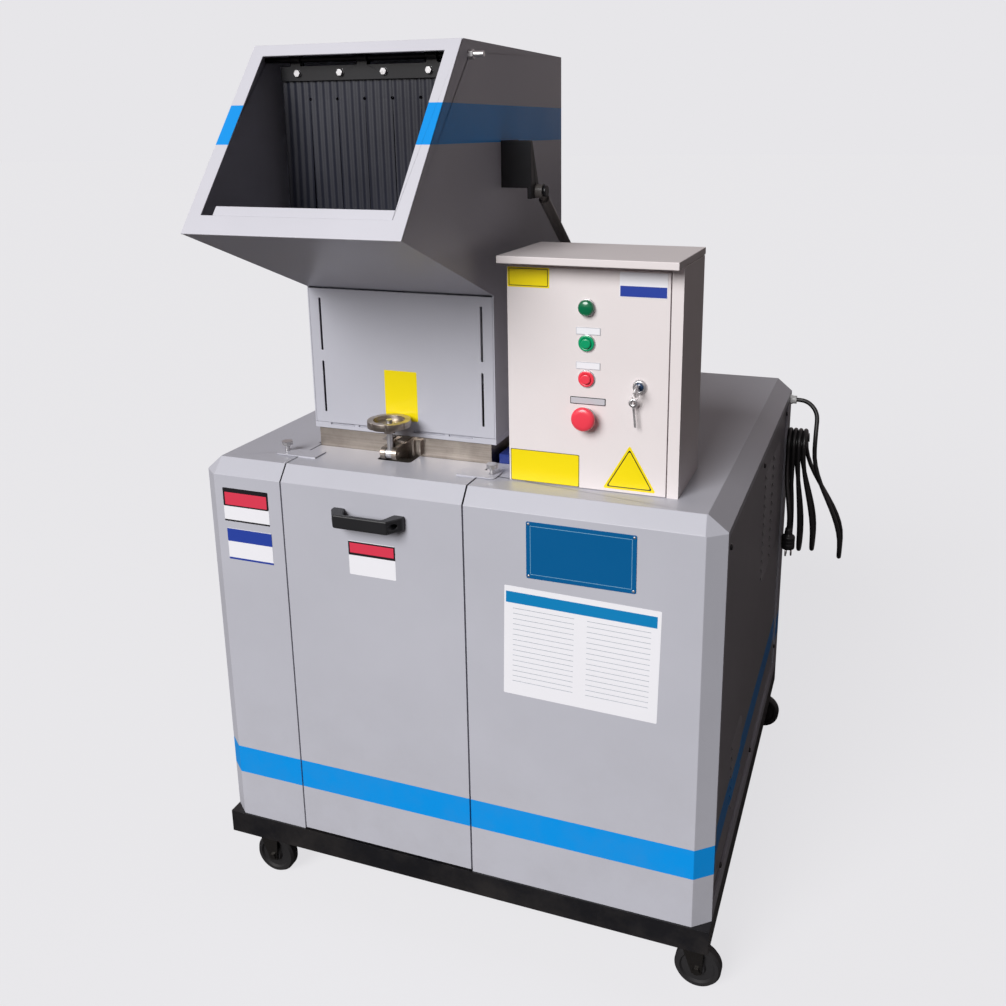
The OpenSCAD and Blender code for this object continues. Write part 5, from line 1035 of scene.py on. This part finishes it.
class GRANULATOR_OT_labels(bpy.types.Operator):
    """Lays blank decals and the blank nameplate on the covers, the hopper and the control box"""
    bl_idname = "granulator.labels"
    bl_label = "Blank decals and nameplate"
    bl_options = {"REGISTER", "UNDO"}

    def execute(self, context):
        box_y = (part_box("control_box_door")[0][1] - FRONT) / MM
        neck_y = (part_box("neck_cover")[0][1] - FRONT) / MM
        self.decal("cover_decals", "cabinet", 0, COVER_DECALS)
        self.decal("door_decal", "door", 0, DOOR_DECAL)
        self.decal("neck_decal", "hopper", neck_y, NECK_DECAL)
        self.decal("box_decals", "box_door", box_y, BOX_DECALS)
        self.triangle(box_y)
        self.sheet()
        self.nameplate()
        return {"FINISHED"}

    def decal(self, name, body, y, blocks, tilt=0.0):
        """Thin vinyl blocks on a surface that looks forward at depth y."""
        bm = bmesh.new()
        used = sorted({block[-1] for block in blocks})
        for layer, (x, z, wide, high, label) in enumerate(blocks):
            radius = 2.0 if high > 30 else 0.3
            thickness = DECAL_THICKNESS + DECAL_RISE * layer
            plate(bm, wide, high, thickness, radius, on_front(x, y, z, radians(tilt)), used.index(label))
        piece_from(bm, name, body, used)

    def triangle(self, box_y):
        """Blank three-cornered decal on the control box."""
        bm = bmesh.new()
        for radius, thickness, index in TRIANGLE_LAYERS:
            outline = bmesh.new()
            bmesh.ops.create_circle(outline, cap_ends=True, segments=3, radius=radius * MM)
            thicken(bm, outline, thickness, 4, on_front(TRIANGLE_X, box_y, TRIANGLE_Z), index)
        piece_from(bm, "corner_decal", "box_door", ["yellow vinyl", "black vinyl"])

    def sheet(self):
        """White instruction sheet left blank: a coloured head and plain rules in two columns."""
        self.decal("ruled_sheet", "cabinet", 0, INSTRUCTION_SHEET, SHEET_TILT)
        bm = bmesh.new()
        x, z = INSTRUCTION_SHEET[0][:2]
        spot = on_front(x, 0, z, radians(SHEET_TILT))
        for column in RULE_COLUMNS:
            for line in range(RULES):
                plate(bm, 116, 1.1, 0.42, 0, spot @ shift(column, RULE_TOP - line * RULE_PITCH, 0))
        piece_from(bm, "sheet_rules", "cabinet", ["rule grey"])

    def nameplate(self):
        """Blank blue plate held by four rivets, with a thin border."""
        bm = bmesh.new()
        spot = on_front(PLATE_X, 0, PLATE_Z)
        half_wide, half_high = PLATE_WIDE / 2, PLATE_HIGH / 2
        plate(bm, PLATE_WIDE, PLATE_HIGH, 1.2, 3, spot)
        for side in (-1, 1):
            plate(bm, PLATE_WIDE - 2 * BORDER, 1.0, 1.3, 0, spot @ shift(0, side * (half_high - BORDER), 0), 1)
            plate(bm, 1.0, PLATE_HIGH - 2 * BORDER, 1.3, 0, spot @ shift(side * (half_wide - BORDER), 0, 0), 1)
            for end in (-1, 1):
                corner = spot @ shift(side * (half_wide - RIVET_INSET), end * (half_high - RIVET_INSET), 1.0)
                turned(bm, RIVET, corner, 2, steps=SMALL_STEPS)
        soften_edges(piece_from(bm, "nameplate", "cabinet", ["plate blue", "plate line", "bright zinc"]), 0.25 * MM)


# Screws of the right side panel, as (depth, height) in millimetres
SIDE_SCREWS = ((63, 901), (111, 222), (500, 905), (915, 905), (930, 258), (500, 222))
# The handle's screws: how far they lie from its ends and in front of the cabinet's face
HANDLE_INSET, HANDLE_Y = 12, -5


class GRANULATOR_OT_fasteners(bpy.types.Operator):
    """Adds the screws of the right side panel and the handle"""
    bl_idname = "granulator.fasteners"
    bl_label = "Fasteners"
    bl_options = {"REGISTER", "UNDO"}

    def execute(self, context):
        bm = bmesh.new()
        right = (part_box("side_panels")[1][0] - LEFT) / MM
        for y, z in SIDE_SCREWS:
            socket_screw(bm, 11, 4, on_right(right, y, z))
        piece_from(bm, "side_screws", "cabinet", ["black enamel"])
        bm = bmesh.new()
        low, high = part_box("door_handle")
        middle = (low[2] + high[2]) / 2 / MM
        for x in ((low[0] - LEFT) / MM + HANDLE_INSET, (high[0] - LEFT) / MM - HANDLE_INSET):
            socket_screw(bm, 8.5, 3.5, on_front(x, HANDLE_Y, middle))
        piece_from(bm, "handle_screws", "door", ["bright zinc"])
        return {"FINISHED"}


SETTINGS = {
    "granulator_colours": GranulatorColours, "granulator_sizes": GranulatorSizes, "granulator_view": GranulatorView}
OPERATORS = (
    GRANULATOR_OT_stage, GRANULATOR_OT_supply_lead, GRANULATOR_OT_sheet_metal, GRANULATOR_OT_machinery,
    GRANULATOR_OT_controls, GRANULATOR_OT_labels, GRANULATOR_OT_fasteners)


class GRANULATOR_PT_panel(bpy.types.Panel):
    """Lists the granulator's settings and steps"""
    bl_label = "Granulator"
    bl_idname = "GRANULATOR_PT_panel"
    bl_space_type = "VIEW_3D"
    bl_region_type = "UI"
    bl_category = "Granulator"

    def draw(self, context):
        layout = self.layout
        for setting in SETTINGS:
            group = getattr(context.scene, setting)
            box = layout.box()
            for name in group.__annotations__:
                box.prop(group, name)
        for kind in OPERATORS:
            layout.operator(kind.bl_idname)


CLASSES = (*SETTINGS.values(), *OPERATORS, GRANULATOR_PT_panel)


def register():
    for kind in CLASSES:
        bpy.utils.register_class(kind)
    for setting, kind in SETTINGS.items():
        setattr(bpy.types.Scene, setting, PointerProperty(type=kind))


def unregister():
    for setting in SETTINGS:
        delattr(bpy.types.Scene, setting)
    for kind in reversed(CLASSES):
        bpy.utils.unregister_class(kind)


def main():
    register()
    bpy.ops.granulator.stage()
    bpy.ops.granulator.supply_lead()
    bpy.ops.granulator.sheet_metal()
    bpy.ops.granulator.machinery()
    bpy.ops.granulator.controls()
    bpy.ops.granulator.labels()
    bpy.ops.granulator.fasteners()


if __name__ == "__main__":
    main()
